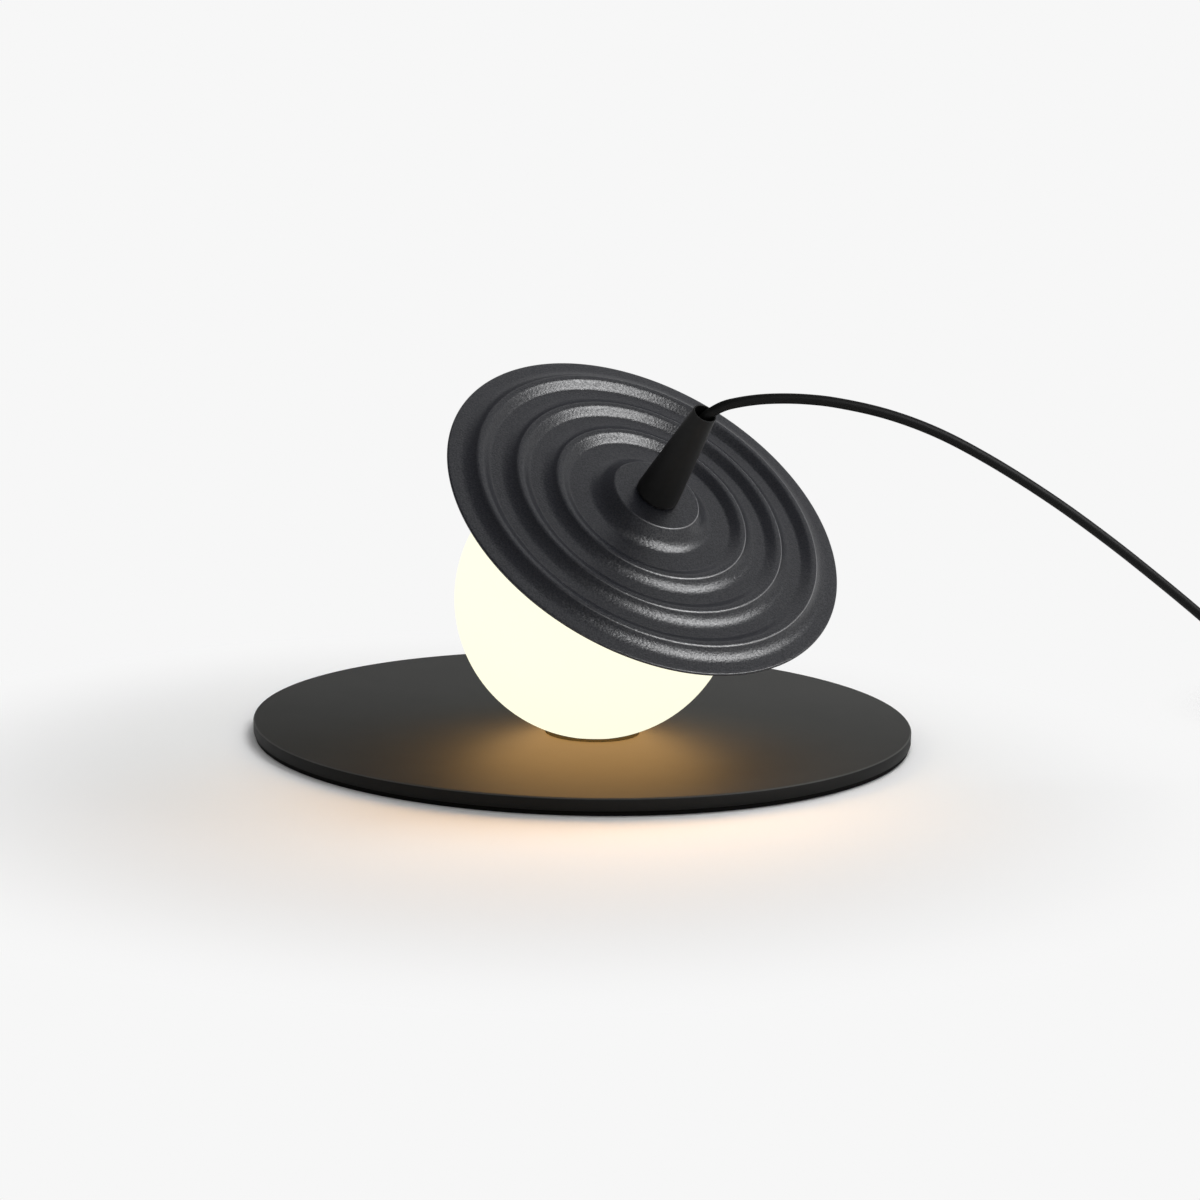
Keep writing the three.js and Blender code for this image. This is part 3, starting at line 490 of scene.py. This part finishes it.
# Cord
lead_points = [
    (36.3, -105.7, 171.4), (37.8, -108.4, 175.2), (40.4, -111.6, 179.7), (44.5, -114.0, 183.4),
    (49.6, -115.6, 186.3), (55.4, -116.1, 187.9), (66.5, -116.1, 189.6), (79.1, -116.1, 190.2),
    (91.5, -116.1, 189.8), (103.8, -116.1, 188.5), (128.8, -116.1, 183.4), (154.1, -116.1, 174.8),
    (181.2, -116.1, 161.6), (215.0, -116.1, 141.7), (244.3, -116.1, 122.0), (270.0, -116.1, 103.2),
    (295.0, -116.1, 84.0), (322.0, -116.1, 62.0), (350.0, -116.1, 40.2), (377.0, -116.1, 21.8),
    (401.0, -116.1, 9.8), (420.0, -116.1, 4.2), (438.0, -116.1, 2.7), (456.1, -112.9, 2.7),
    (469.7, -103.8, 2.7), (478.8, -90.2, 2.9), (481.9, -76.4, 5.4), (482.0, -68.5, 7.3),
    (482.0, -63.0, 7.5), (482.0, -57.0, 7.5), (482.0, -51.0, 7.5), (482.0, -45.5, 7.5),
]
run_points = [
    (482, 7.5, 7.5), (482, 14, 7.5), (482, 20, 7.5), (482, 26, 7.5), (482, 33, 7.1),
    (482, 40, 5.6), (482, 46, 4.4), (482, 51, 3.9), (482, 55.6, 3.9),
]
tail_points = [
    (404, 55.6, 9.6), (404, 51, 9.6), (404, 45, 9.2), (404, 38, 8.0), (404, 31, 7.2),
    (404, 25, 7.05), (404, 18, 7.05), (404, 11, 7.05), (404, 5, 7.05), (404, -0.5, 7.05),
]
switch_x = 482
plug_x = 404
coil_turns = 3
coil_pitch = 5.7
coil_outer = 39
coil_floor = 3.9
coil_centre = (switch_x - coil_outer, 61)


def coil_line(turn_steps=48):
    """Centreline: in along the lower layer, up in the half turn where it reverses, out along the upper."""
    reversal = 0.5
    turns = 2 * coil_turns + reversal
    line = []
    for i in range(int(turns * turn_steps) + 1):
        turn = i / turn_steps
        climb = min(max((turn - coil_turns) / reversal, 0), 1)
        radius = coil_outer - coil_pitch * min(turn, turns - turn)
        angle = 2 * math.pi * turn
        x = coil_centre[0] + radius * math.cos(angle)
        y = coil_centre[1] + radius * math.sin(angle)
        line.append(Vector((x, y, coil_floor + coil_pitch * climb * climb * (3 - 2 * climb))))
    return line


def length_of(line):
    return sum((b - a).length for a, b in zip(line, line[1:]))


def make_cords(materials):
    lead_line = spline(lead_points)
    lead = tube("cord_lead_smooth", lead_line, cord_diameter, None, materials["cord_black"])
    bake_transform(lead)
    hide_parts("cord_lead")

    stored_line = spline(run_points)[:-1] + coil_line() + spline(tail_points)[1:]
    stored = tube("cord_stored", stored_line, cord_diameter, "seat", materials["cord_black"])
    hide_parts("cord_run", "cord_coil", "cord_tail")
    lengths = [round(length_of(line) * mm, 3) for line in (lead_line, stored_line)]
    print("cord lengths in metres:", *lengths)


# Lamp
def make_base(materials):
    chamfer, chamfer_round = 0.7, 0.1
    lower_round, hole_round, pad_round = 0.5, 0.2, 0.4
    top, radius = plate_top, plate_radius
    hole = seat_inner + seat_width + clearance
    seat_at = (0, -seat_offset)
    rings = [
        circle(hole, pad_thickness, seat_at),
        circle(radius - lower_round, pad_thickness),
        circle(radius - 0.3 * lower_round, pad_thickness + 0.3 * lower_round),
        circle(radius, pad_thickness + lower_round),
        circle(radius, top - chamfer - chamfer_round),
        circle(radius - 0.8 * chamfer_round, top - chamfer + chamfer_round),
        circle(radius - chamfer + chamfer_round, top - 0.8 * chamfer_round),
        circle(radius - chamfer - chamfer_round, top),
        circle(hole + hole_round, top, seat_at),
        circle(hole, top - hole_round, seat_at),
    ]
    points, faces = skin(rings, closed_rows=True)
    plate = piece("plate_smooth", points, faces, "base", materials["plate_paint"], smooth_angle=25)
    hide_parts("base_plate")
    outer = radius - pad_inset
    outline = [(0, 0), (outer - pad_round, 0), (outer, pad_round), (outer, pad_thickness), (0, pad_thickness)]
    pad = revolve("pad_smooth", outline, None, "base", materials["soft_black"])
    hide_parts("foot_pad")


def make_seat_ring(materials):
    inner, outer = seat_inner, seat_inner + seat_width
    steps = 8
    face = []
    for i in range(steps + 1):
        r = inner + seat_width * i / steps
        height = globe_radius - globe_sink - math.sqrt(globe_radius**2 - r * r)
        face.append((r, height - clearance))
    bottom = clearance - (plate_top - pad_thickness)
    ring = revolve("seat_ring_smooth", [*face, (outer, bottom), (inner, bottom)], seat_place, "seat",
                   materials["seat_rubber"])
    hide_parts("seat_ring")


def make_globe(materials):
    inner = globe_radius - globe_wall
    neck_inner = neck_radius - globe_wall
    outside = arc(globe_radius, -math.pi / 2, math.acos(neck_radius / globe_radius), 72)
    inside = arc(inner, math.acos(neck_inner / inner), -math.pi / 2, 40)
    lip_bottom = neck_top - lip_height
    lip = soften([(neck_radius, lip_bottom), (lip_radius, lip_bottom), (lip_radius, neck_top),
                  (neck_inner, neck_top)], 0.5, closed=False)
    globe = revolve("globe_smooth", [*outside, *lip, *inside], head_place, "head", materials["opal_glass"],
                    sides=144)
    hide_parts("globe")


# Distance out from a ridge's crest or the platform's edge, and share of the height there
ridge_course = [(-7.3, 0), (-6.6, 0.065), (-5.8, 0.2), (-4.3, 0.49), (-2.8, 0.785), (-2.1, 0.9), (-1.3, 0.97),
                (0, 1), (0.4, 0.993), (0.9, 0.945), (1.3, 0.873), (2, 0.7), (2.7, 0.548), (3.7, 0.38),
                (4.7, 0.247), (5.7, 0.14), (6.7, 0.06), (7.6, 0.018), (8.7, 0)]
platform_course = [(0, 1), (0.5, 0.996), (0.9, 0.972), (1.3, 0.924), (3, 0.696), (4.6, 0.482), (5.4, 0.381),
                   (6.2, 0.297), (7.7, 0.174), (9.2, 0.078), (10.2, 0.03), (11.8, 0)]
platform_foot = platform_radius + platform_course[-1][0]

# A crease and a painted glint line run this far outside each crest and the platform's edge
crest_line_offset = 0.9


def course(pairs, x):
    """Height at x on a smooth monotone curve through the pairs."""
    slopes = [(b[1] - a[1]) / (b[0] - a[0]) for a, b in zip(pairs, pairs[1:])]
    bends = [0] + [2 * m * n / (m + n) if m * n > 0 else 0 for m, n in zip(slopes, slopes[1:])] + [0]
    k = max(i for i in range(len(pairs) - 1) if pairs[i][0] <= x)
    (x0, y0), (x1, y1) = pairs[k], pairs[k + 1]
    t = (x - x0) / (x1 - x0)
    return between(t, y0, bends[k] * (x1 - x0), y1, bends[k + 1] * (x1 - x0))


def shade_height(r):
    """Upper face of the shade over its rim, at a radius."""
    dish = shade_dish * (1 - r / shade_radius)
    if r < platform_radius:
        return platform_height
    if r < platform_foot:
        drop = platform_height - shade_dish * (1 - platform_foot / shade_radius)
        return platform_height - drop * (1 - course(platform_course, r - platform_radius))
    for crest in crest_radii:
        if ridge_course[0][0] <= r - crest < ridge_course[-1][0]:
            return dish + ridge_height * course(ridge_course, r - crest)
    return dish


def make_shade(materials):
    fine_step, coarse_step, fine_reach = 0.2, 0.6, 1.5
    rim_inset = 1.6
    half_wall = shade_wall / 2
    radii = []
    r = nipple_radius + clearance
    while r < shade_radius - rim_inset:
        radii.append(r)
        from_crest = min(abs(r - crest_line_offset - crest) for crest in crest_radii)
        near_line = from_crest < fine_reach or abs(r - 1 - platform_radius) < fine_reach
        r += fine_step if near_line else coarse_step
    top = [(r, shade_height(r)) for r in sorted({*radii, *crest_radii})]
    bead = [(shade_radius - half_wall + x, h)
            for x, h in arc(half_wall, math.pi / 2, -math.pi / 2, 10, -half_wall)]
    under = [(r, h - shade_wall) for r, h in top[::2]][::-1]
    outline = [(r, h + shade_rim) for r, h in [*top, *bead, *under]]
    shade = revolve("shade_smooth", outline, head_place, "head", materials["shade_paint"], sides=256)
    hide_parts("shade_disc")


def make_stem(materials):
    foot = 0.9
    bush_length = 9.6
    screwed_length = 9
    outline = [
        (nipple_radius + clearance, stem_bottom),
        (stem_base_radius - foot, stem_bottom),
        (stem_base_radius - foot / 4, stem_bottom + foot / 2),
        (stem_base_radius, stem_bottom + 2 * foot),
        (stem_tip_radius, stem_top),
        (stem_mouth, stem_top),
        (stem_mouth, stem_top - mouth_depth - bush_length),
        (nipple_radius + clearance, stem_bottom + screwed_length),
    ]
    stem = revolve("stem_smooth", soften(outline, 0.25), head_place, "head", materials["stem_paint"],
                   sides=96)
    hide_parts("cone_stem")


def make_fitter(materials):
    screw_radius = 1.25
    screw_height = neck_top - lip_height - clearance - screw_radius
    inner_top = neck_top + 2 * clearance + sheet_wall
    top = inner_top + sheet_wall
    skirt_inner = lip_radius + 3 * clearance
    skirt_outer = skirt_inner + sheet_wall
    skirt_bottom = screw_height - screw_radius - sheet_wall
    bore = nipple_radius + clearance
    outline = [(bore, top), (skirt_outer, top), (skirt_outer, skirt_bottom), (skirt_inner, skirt_bottom),
               (skirt_inner, inner_top), (bore, inner_top)]
    cup = revolve("fitter_cup_smooth", soften(outline, 0.9), head_place, "head", materials["stem_paint"])
    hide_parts("fitter_cup")

    teeth = 26
    tooth_sides = 4
    knob_radius, knob_bevel = 3, 0.4
    tip = neck_radius + clearance
    start = skirt_outer + clearance
    end = start + 3.2
    rows = [(screw_radius - 0.05, tip), (screw_radius, tip + 0.5), (screw_radius, start),
            (knob_radius - knob_bevel, start), (knob_radius, start + knob_bevel),
            (knob_radius, end - knob_bevel), (knob_radius - knob_bevel, end), (0, end)]

    def knurl(k):
        return 0.18 if k % tooth_sides < tooth_sides / 2 else -0.1

    rings = [circle(r, h, sides=teeth * tooth_sides, wave=knurl if r == knob_radius else None)
             for r, h in rows]
    points, faces = skin(rings)
    for i in range(3):
        outward = Matrix.Rotation(2 * math.pi * i / 3, 4, "Z") @ Matrix.Translation((0, 0, screw_height))
        outward = outward @ Matrix.Rotation(math.pi / 2, 4, "Y")
        screw = piece(f"fitter_screw_knurled_{i + 1}", points, faces, "head", materials["steel"],
                      place=head_place @ outward)
        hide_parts(f"fitter_screw_{i + 1}")


# Switch in the cord
switch_place = Matrix.Translation((switch_x, -19, 0))
switch_half_x = 13.5
switch_half_y = 31
switch_corner = 13.2
switch_height = 15.6
switch_wall = 1.8
cord_height = 7.5
parting = 0.15
rocker_pivot = switch_height - 3
rocker_radius = 8.2
rocker_width = 11
rocker_lean = 7
screw_places = [(side * 0.55 * switch_half_x, side * 0.62 * switch_half_y) for side in (-1, 1)]


def switch_ring(inset, height):
    pairs = rounded_ring(switch_half_x - inset, switch_half_y - inset, switch_corner - inset)
    return [(x, y, height) for x, y in pairs]


def cutter(points, faces, place):
    return piece("cutter", points, faces, None, None, place=place)


def make_shell(name, rows, cutters, material):
    points, faces = skin([switch_ring(inset, height) for inset, height in rows])
    shell = piece(name, points, faces, None, material, place=switch_place)
    cut(shell, *cutters)
    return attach(shell, "seat")


def cord_hole():
    along = Matrix.Translation((0, 0, cord_height)) @ Matrix.Rotation(math.pi / 2, 4, "X")
    rings = [circle(cord_radius + 0.6, h, sides=48) for h in (-switch_half_y - 2, switch_half_y + 2)]
    return cutter(*skin(rings), switch_place @ along)


def make_switch(materials):
    edge, parting_bevel = 1.4, 0.25
    screw_hole_radius, screw_hole_depth = 2.6, 2.1
    window_gap = 0.6
    quarter = [math.pi / 2 * k / 5 for k in range(6)]
    low_part, high_part = cord_height - parting, cord_height + parting
    lower_rows = [(edge * (1 - math.sin(a)), edge * (1 - math.cos(a))) for a in quarter]
    lower_rows += [(0, low_part - parting_bevel), (parting_bevel, low_part), (switch_wall, low_part),
                   (switch_wall, switch_wall)]
    head_holes = []
    for x, y in screw_places:
        rings = [circle(screw_hole_radius, h, (x, y), sides=32) for h in (-1, screw_hole_depth)]
        head_holes.append(cutter(*skin(rings), switch_place))
    base = make_shell("switch_base_smooth", lower_rows, [cord_hole(), *head_holes],
                      materials["black_plastic"])
    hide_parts("switch_base")

    top_edge = 2 * edge
    window = rounded_ring(rocker_width / 2 + window_gap, rocker_radius + window_gap, 1, steps=4)
    window_rings = [[(x, y, h) for x, y in window] for h in (switch_height - 5, switch_height + 5)]
    window_cut = cutter(*skin(window_rings), switch_place)
    hollow_rows = [(switch_wall, high_part - 1), (switch_wall, switch_height - 2 * switch_wall),
                   (2 * switch_wall, switch_height - switch_wall)]
    hollow = cutter(*skin([switch_ring(inset, height) for inset, height in hollow_rows]), switch_place)
    rows = [(parting_bevel, high_part), (0, high_part + parting_bevel)]
    rows += [(top_edge * (1 - math.cos(a)), switch_height - top_edge * (1 - math.sin(a))) for a in quarter]
    cover = make_shell("switch_cover_smooth", rows, [hollow, window_cut, cord_hole()],
                       materials["black_plastic"])
    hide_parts("switch_cover")
    make_rocker(materials)
    make_sleeves(materials)


def make_rocker(materials):
    def on_arc(angle):
        return rocker_radius * math.cos(angle), rocker_radius * math.sin(angle)

    steps = 6
    below, above = 0.21, 0.42
    valley, belly = 1.6, -5
    ends = [(below + above) * k / steps for k in range(steps + 1)]
    profile = [on_arc(angle - below) for angle in ends]
    profile.append((0, valley))
    profile += [on_arc(math.pi - above + angle) for angle in ends]
    profile.append((0, belly))
    half = rocker_width / 2
    at_pivot = switch_place @ Matrix.Translation((0, 0, rocker_pivot))
    rest = at_pivot @ Matrix.Rotation(math.radians(-rocker_lean), 4, "X")
    points, faces = skin([[(x, y, z) for y, z in profile] for x in (-half, half)])
    rocker = piece("switch_rocker_smooth", points, faces, None, materials["black_plastic"], place=rest)
    bevel = rocker.modifiers.new("edges", "BEVEL")
    bevel.width = 0.45 * mm
    bevel.segments = 3
    cut(rocker)
    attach(rocker, "rocker")
    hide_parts("switch_rocker")

    # The marks lie on the rocker's two sloping faces
    wing_reach, wing_height = 7.49, 3.34
    slope = math.atan2(wing_height - valley, wing_reach)
    mark_y, sunk, raised = 3.9, -0.1, 0.08
    bar = rounded_ring(0.2, 1.3, 0.18, steps=3)
    ring_inner, ring_outer = 1, 1.4
    for name, side in (("rocker_mark_on", -1), ("rocker_mark_off", 1)):
        tilt = Matrix.Translation((0, side * mark_y, valley + mark_y * math.tan(slope)))
        tilt = tilt @ Matrix.Rotation(side * slope, 4, "X")
        if side > 0:
            outline = [(ring_inner, sunk), (ring_outer, sunk), (ring_outer, raised), (ring_inner, raised)]
            mark = revolve(name, outline, rest @ tilt, "rocker", materials["white_plastic"], sides=32)
        else:
            points, faces = skin([[(x, y, h) for x, y in bar] for h in (sunk, raised)])
            mark = piece(name, points, faces, "rocker", materials["white_plastic"], place=rest @ tilt)


def ribbed(start_radius, end_radius, start, end, ribs, depth):
    """Tapered outline with grooves round it."""
    outline = []
    for i in range(ribs):
        for share, inward in ((0.08, 0), (0.55, 0), (0.63, depth), (0.92, depth)):
            t = (i + share) / ribs
            radius = start_radius + (end_radius - start_radius) * t
            outline.append((radius - inward, start + (end - start) * t))
    return outline


def make_sleeves(materials):
    start = switch_half_y + clearance
    end = start + 14
    ribs = ribbed(4.25, 3.6, start + 2.4, end - 1, 5, 0.35)
    outline = [(cord_bore, start), (4.68, start), (4.5, start + 2), *ribs, (cord_bore + 0.6, end),
               (cord_bore, end)]
    for i, side in enumerate((-1, 1)):
        along = Matrix.Translation((0, 0, cord_height)) @ Matrix.Rotation(-side * math.pi / 2, 4, "X")
        sleeve = revolve(f"switch_sleeve_ribbed_{i + 1}", outline, switch_place @ along, "seat",
                         materials["soft_black"], sides=48)
        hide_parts(f"switch_sleeve_{i + 1}")


# Tie and plug
def make_tie(materials):
    at_turn = 0.75
    inner_turn = coil_outer - (coil_turns - 1 + at_turn) * coil_pitch
    outer_turn = coil_outer - at_turn * coil_pitch
    gap = 0.45
    thickness = 0.8
    width = 5
    low = coil_floor - cord_radius - gap
    high = coil_floor + coil_pitch + cord_radius + gap
    half_y = (outer_turn - inner_turn) / 2 + cord_radius + gap
    half_z = (high - low) / 2
    middle = Vector((coil_centre[0], coil_centre[1] - (inner_turn + outer_turn) / 2, (low + high) / 2))
    inside = rounded_ring(half_y, half_z, cord_radius)
    outside = rounded_ring(half_y + thickness, half_z + thickness, cord_radius + thickness)

    # Section across the band, as shares of its width and its thickness
    section = [(-0.5, 0), (-0.5, 0.8), (-0.44, 1), (0.44, 1), (0.5, 0.8), (0.5, 0)]
    rings = []
    for (y0, z0), (y1, z1) in zip(inside, outside):
        steps = [Vector((x * width, y0 + (y1 - y0) * t, z0 + (z1 - z0) * t)) for x, t in section]
        rings.append([middle + step for step in steps])
    points, faces = skin(rings, closed_rows=True)
    tie = piece("cord_tie_smooth", points, faces, "seat", materials["soft_black"])
    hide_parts("cord_tie")


def make_plug(materials):
    length, half_x, half_z = 34, 17.5, 6.7
    pin_radius, pin_length, pin_x, pin_root = 2, 19, 9.3, 3
    place = Matrix.Translation((plug_x, 4, 7.05))

    # Shares of the length, with the share of the full width there
    shares = [(0, 0.32), (0.12, 0.46), (0.34, 0.78), (0.6, 1), (0.92, 1), (1, 0.95)]
    grip_start, grip_end, grip_pitch, grip_depth = 0.3, 0.66, 0.09, 0.45
    rings = []
    for along, wide in spline_pairs(shares, 6):
        grip = 0
        if grip_start < along < grip_end:
            grip = grip_depth * max(0, math.sin(2 * math.pi * (along - grip_start) / grip_pitch))
        ring = rounded_ring(half_x * wide - grip, half_z * min(1, wide + 0.2), half_z * wide * 0.5)
        rings.append([(x, -along * length, z) for x, z in ring])
    points, faces = skin(rings)
    body = piece("plug_body_smooth", points, faces, None, materials["black_plastic"], place=place,
                 smooth_angle=40)
    back = Matrix.Rotation(math.pi / 2, 4, "X")
    hole = cutter(*skin([circle(cord_bore, h, sides=40) for h in (-5, 8)]), place @ back)
    cut(body, hole)
    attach(body, "seat")
    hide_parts("plug_body")

    tip = arc(pin_radius, 0, math.pi / 2, 6, pin_length - pin_radius)
    pin_outline = [(0, -pin_root), (pin_radius, -pin_root), *tip]
    sleeve_outline = [(2.02, -1), (2.3, -1), (2.3, 9.6), (2.02, 10)]
    for i, side in enumerate((-1, 1)):
        at = place @ Matrix.Translation((side * pin_x, -length, 0)) @ back
        pin = revolve(f"plug_pin_round_{i + 1}", pin_outline, at, "seat", materials["steel"], sides=40)
        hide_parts(f"plug_pin_{i + 1}")
        sleeve = revolve(f"pin_sleeve_{i + 1}", sleeve_outline, at, "seat", materials["black_plastic"],
                         sides=40)

    relief_length = 20
    ribs = ribbed(5.2, 3.6, 1, relief_length - 1, 7, 0.5)
    outline = [(cord_bore, clearance), (cord_bore + 2.4, clearance), *ribs, (cord_bore + 0.6, relief_length),
               (cord_bore, relief_length)]
    relief = revolve("plug_relief_ribbed", outline, place @ Matrix.Rotation(-math.pi / 2, 4, "X"), "seat",
                     materials["soft_black"], sides=48)
    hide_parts("plug_relief")


def dress_nodes(materials):
    """Gives every CAD node that stays its material, by the record's slots."""
    slots = {entry["node"]: entry["material_slot"] for entry in frame["record"]["subparts"]}
    for name, node in nodes.items():
        if node.hide_render:
            continue
        node.data.materials.clear()
        node.data.materials.append(materials[slots[name]])


# Room. The haze numbers are heights of a direction, from 0 at the horizon to 1 overhead
background = 0.93
ceiling = 0.1
haze_low, haze_high = 0.04, 0.43
floor_tone = 0.962
floor_drop = 0.2

# Where the floor takes shadows: a middle, and the distances where they begin and end to fade, in metres
shadow_zones = (((-0.035, -0.08, 0), 0.18, 0.36), ((0.455, 0.02, 0), 0.07, 0.122))


def make_world(light_level):
    """Plain light. The camera sees one pale tone, and reflections see it darken to the ceiling."""
    world = bpy.data.worlds.new("studio")
    bpy.context.scene.world = world
    world.use_nodes = True
    tree = world.node_tree
    plain = tree.nodes["Background"]
    plain.inputs["Color"].default_value = (1, 1, 1, 1)
    plain.inputs["Strength"].default_value = light_level
    seen = tree.nodes.new("ShaderNodeBackground")
    parts = tree.nodes.new("ShaderNodeSeparateXYZ")
    tree.links.new(tree.nodes.new("ShaderNodeTexCoord").outputs["Generated"], parts.inputs["Vector"])
    rays = tree.nodes.new("ShaderNodeLightPath")
    overhead = map_range(tree, rays.outputs["Is Camera Ray"], to_min=ceiling, to_max=background)
    tone = map_range(tree, parts.outputs["Z"], haze_low, haze_high, background, smooth=True)
    tree.links.new(overhead, tone.node.inputs["To Max"])
    tree.links.new(tone, seen.inputs["Color"])
    both = tree.nodes.new("ShaderNodeMixShader")
    tree.links.new(camera_or_gloss(tree), both.inputs["Fac"])
    tree.links.new(plain.outputs["Background"], both.inputs[1])
    tree.links.new(seen.outputs["Background"], both.inputs[2])
    tree.links.new(both.outputs["Shader"], tree.nodes["World Output"].inputs["Surface"])


def make_floor():
    """Pale floor: it takes shadows in its zones and fades to the plain background further out."""
    points, faces = skin([circle(r, 0, sides=96) for r in (0, 400, 900, 1800, 12000)], caps=False)
    material = bpy.data.materials.new("floor")
    material.use_nodes = True
    tree = material.node_tree
    shader = tree.nodes["Principled BSDF"]
    shader.inputs["Base Color"].default_value = (floor_tone, floor_tone, floor_tone, 1)
    shader.inputs["Roughness"].default_value = 0.9
    shader.inputs["Specular IOR Level"].default_value = 0
    plain = tree.nodes.new("ShaderNodeEmission")
    plain.inputs["Color"].default_value = (background, background, background, 1)
    place = tree.nodes.new("ShaderNodeTexCoord").outputs["Object"]
    fade = camera_or_gloss(tree)
    for middle, near, far in shadow_zones:
        away = reckon(tree, "ShaderNodeVectorMath", "DISTANCE", place, middle)
        outside = map_range(tree, away, near, far, smooth=True)
        fade = reckon(tree, "ShaderNodeMath", "MULTIPLY", fade, outside)
    both = tree.nodes.new("ShaderNodeMixShader")
    tree.links.new(fade, both.inputs["Fac"])
    tree.links.new(shader.outputs["BSDF"], both.inputs[1])
    tree.links.new(plain.outputs["Emission"], both.inputs[2])
    tree.links.new(both.outputs["Shader"], tree.nodes["Material Output"].inputs["Surface"])
    just_below = Matrix.Translation((0, 0, -floor_drop))
    piece("floor", points, faces, None, material, place=just_below)


def make_light(name, kind, place, aim, power):
    light = bpy.data.lights.new(name, kind)
    light.energy = power
    made = bpy.data.objects.new(name, light)
    bpy.context.collection.objects.link(made)
    made.location = place
    made.rotation_euler = (Vector(aim) - Vector(place)).to_track_quat("-Z", "Y").to_euler()
    return made


def make_lights():
    """Two softboxes for sheen alone, one for matt light alone, and a warm spot in the globe."""
    lamp_middle = (0, -0.05, 0.08)
    softboxes = (
        ("right_softbox", (1.179, -0.751, 0.928), 27, (1.25, 0.52), True),
        ("back_softbox", (0.72, 0.7, 1.22), 4, (1.8, 1.6), True),
        ("top_softbox", (0.55, 0.35, 1.4), 13.7, (1, 1), False),
    )
    for name, place, power, size, for_sheen in softboxes:
        made = make_light(name, "AREA", place, lamp_middle, power)
        made.data.shape = "RECTANGLE"
        made.data.size, made.data.size_y = size
        made.visible_diffuse = not for_sheen
        made.visible_glossy = for_sheen

    bulb_place = globe_centre * mm
    in_front = bulb_place + Vector((-0.015, -0.11, -0.1))
    glow = make_light("globe_glow", "SPOT", bulb_place, in_front, 1.42)
    glow.data.color = (1, 0.49, 0.1)
    glow.data.shadow_soft_size = 0.074
    glow.data.use_soft_falloff = False
    glow.data.spot_size = math.radians(128)
    glow.data.spot_blend = 1


make_camera()
finishes = make_materials()
make_cords(finishes)
make_base(finishes)
make_seat_ring(finishes)
make_globe(finishes)
make_shade(finishes)
make_stem(finishes)
make_fitter(finishes)
make_switch(finishes)
make_tie(finishes)
make_plug(finishes)
dress_nodes(finishes)
make_world(0.38)
make_floor()
make_lights()
bpy.context.scene.view_settings.view_transform = "Standard"
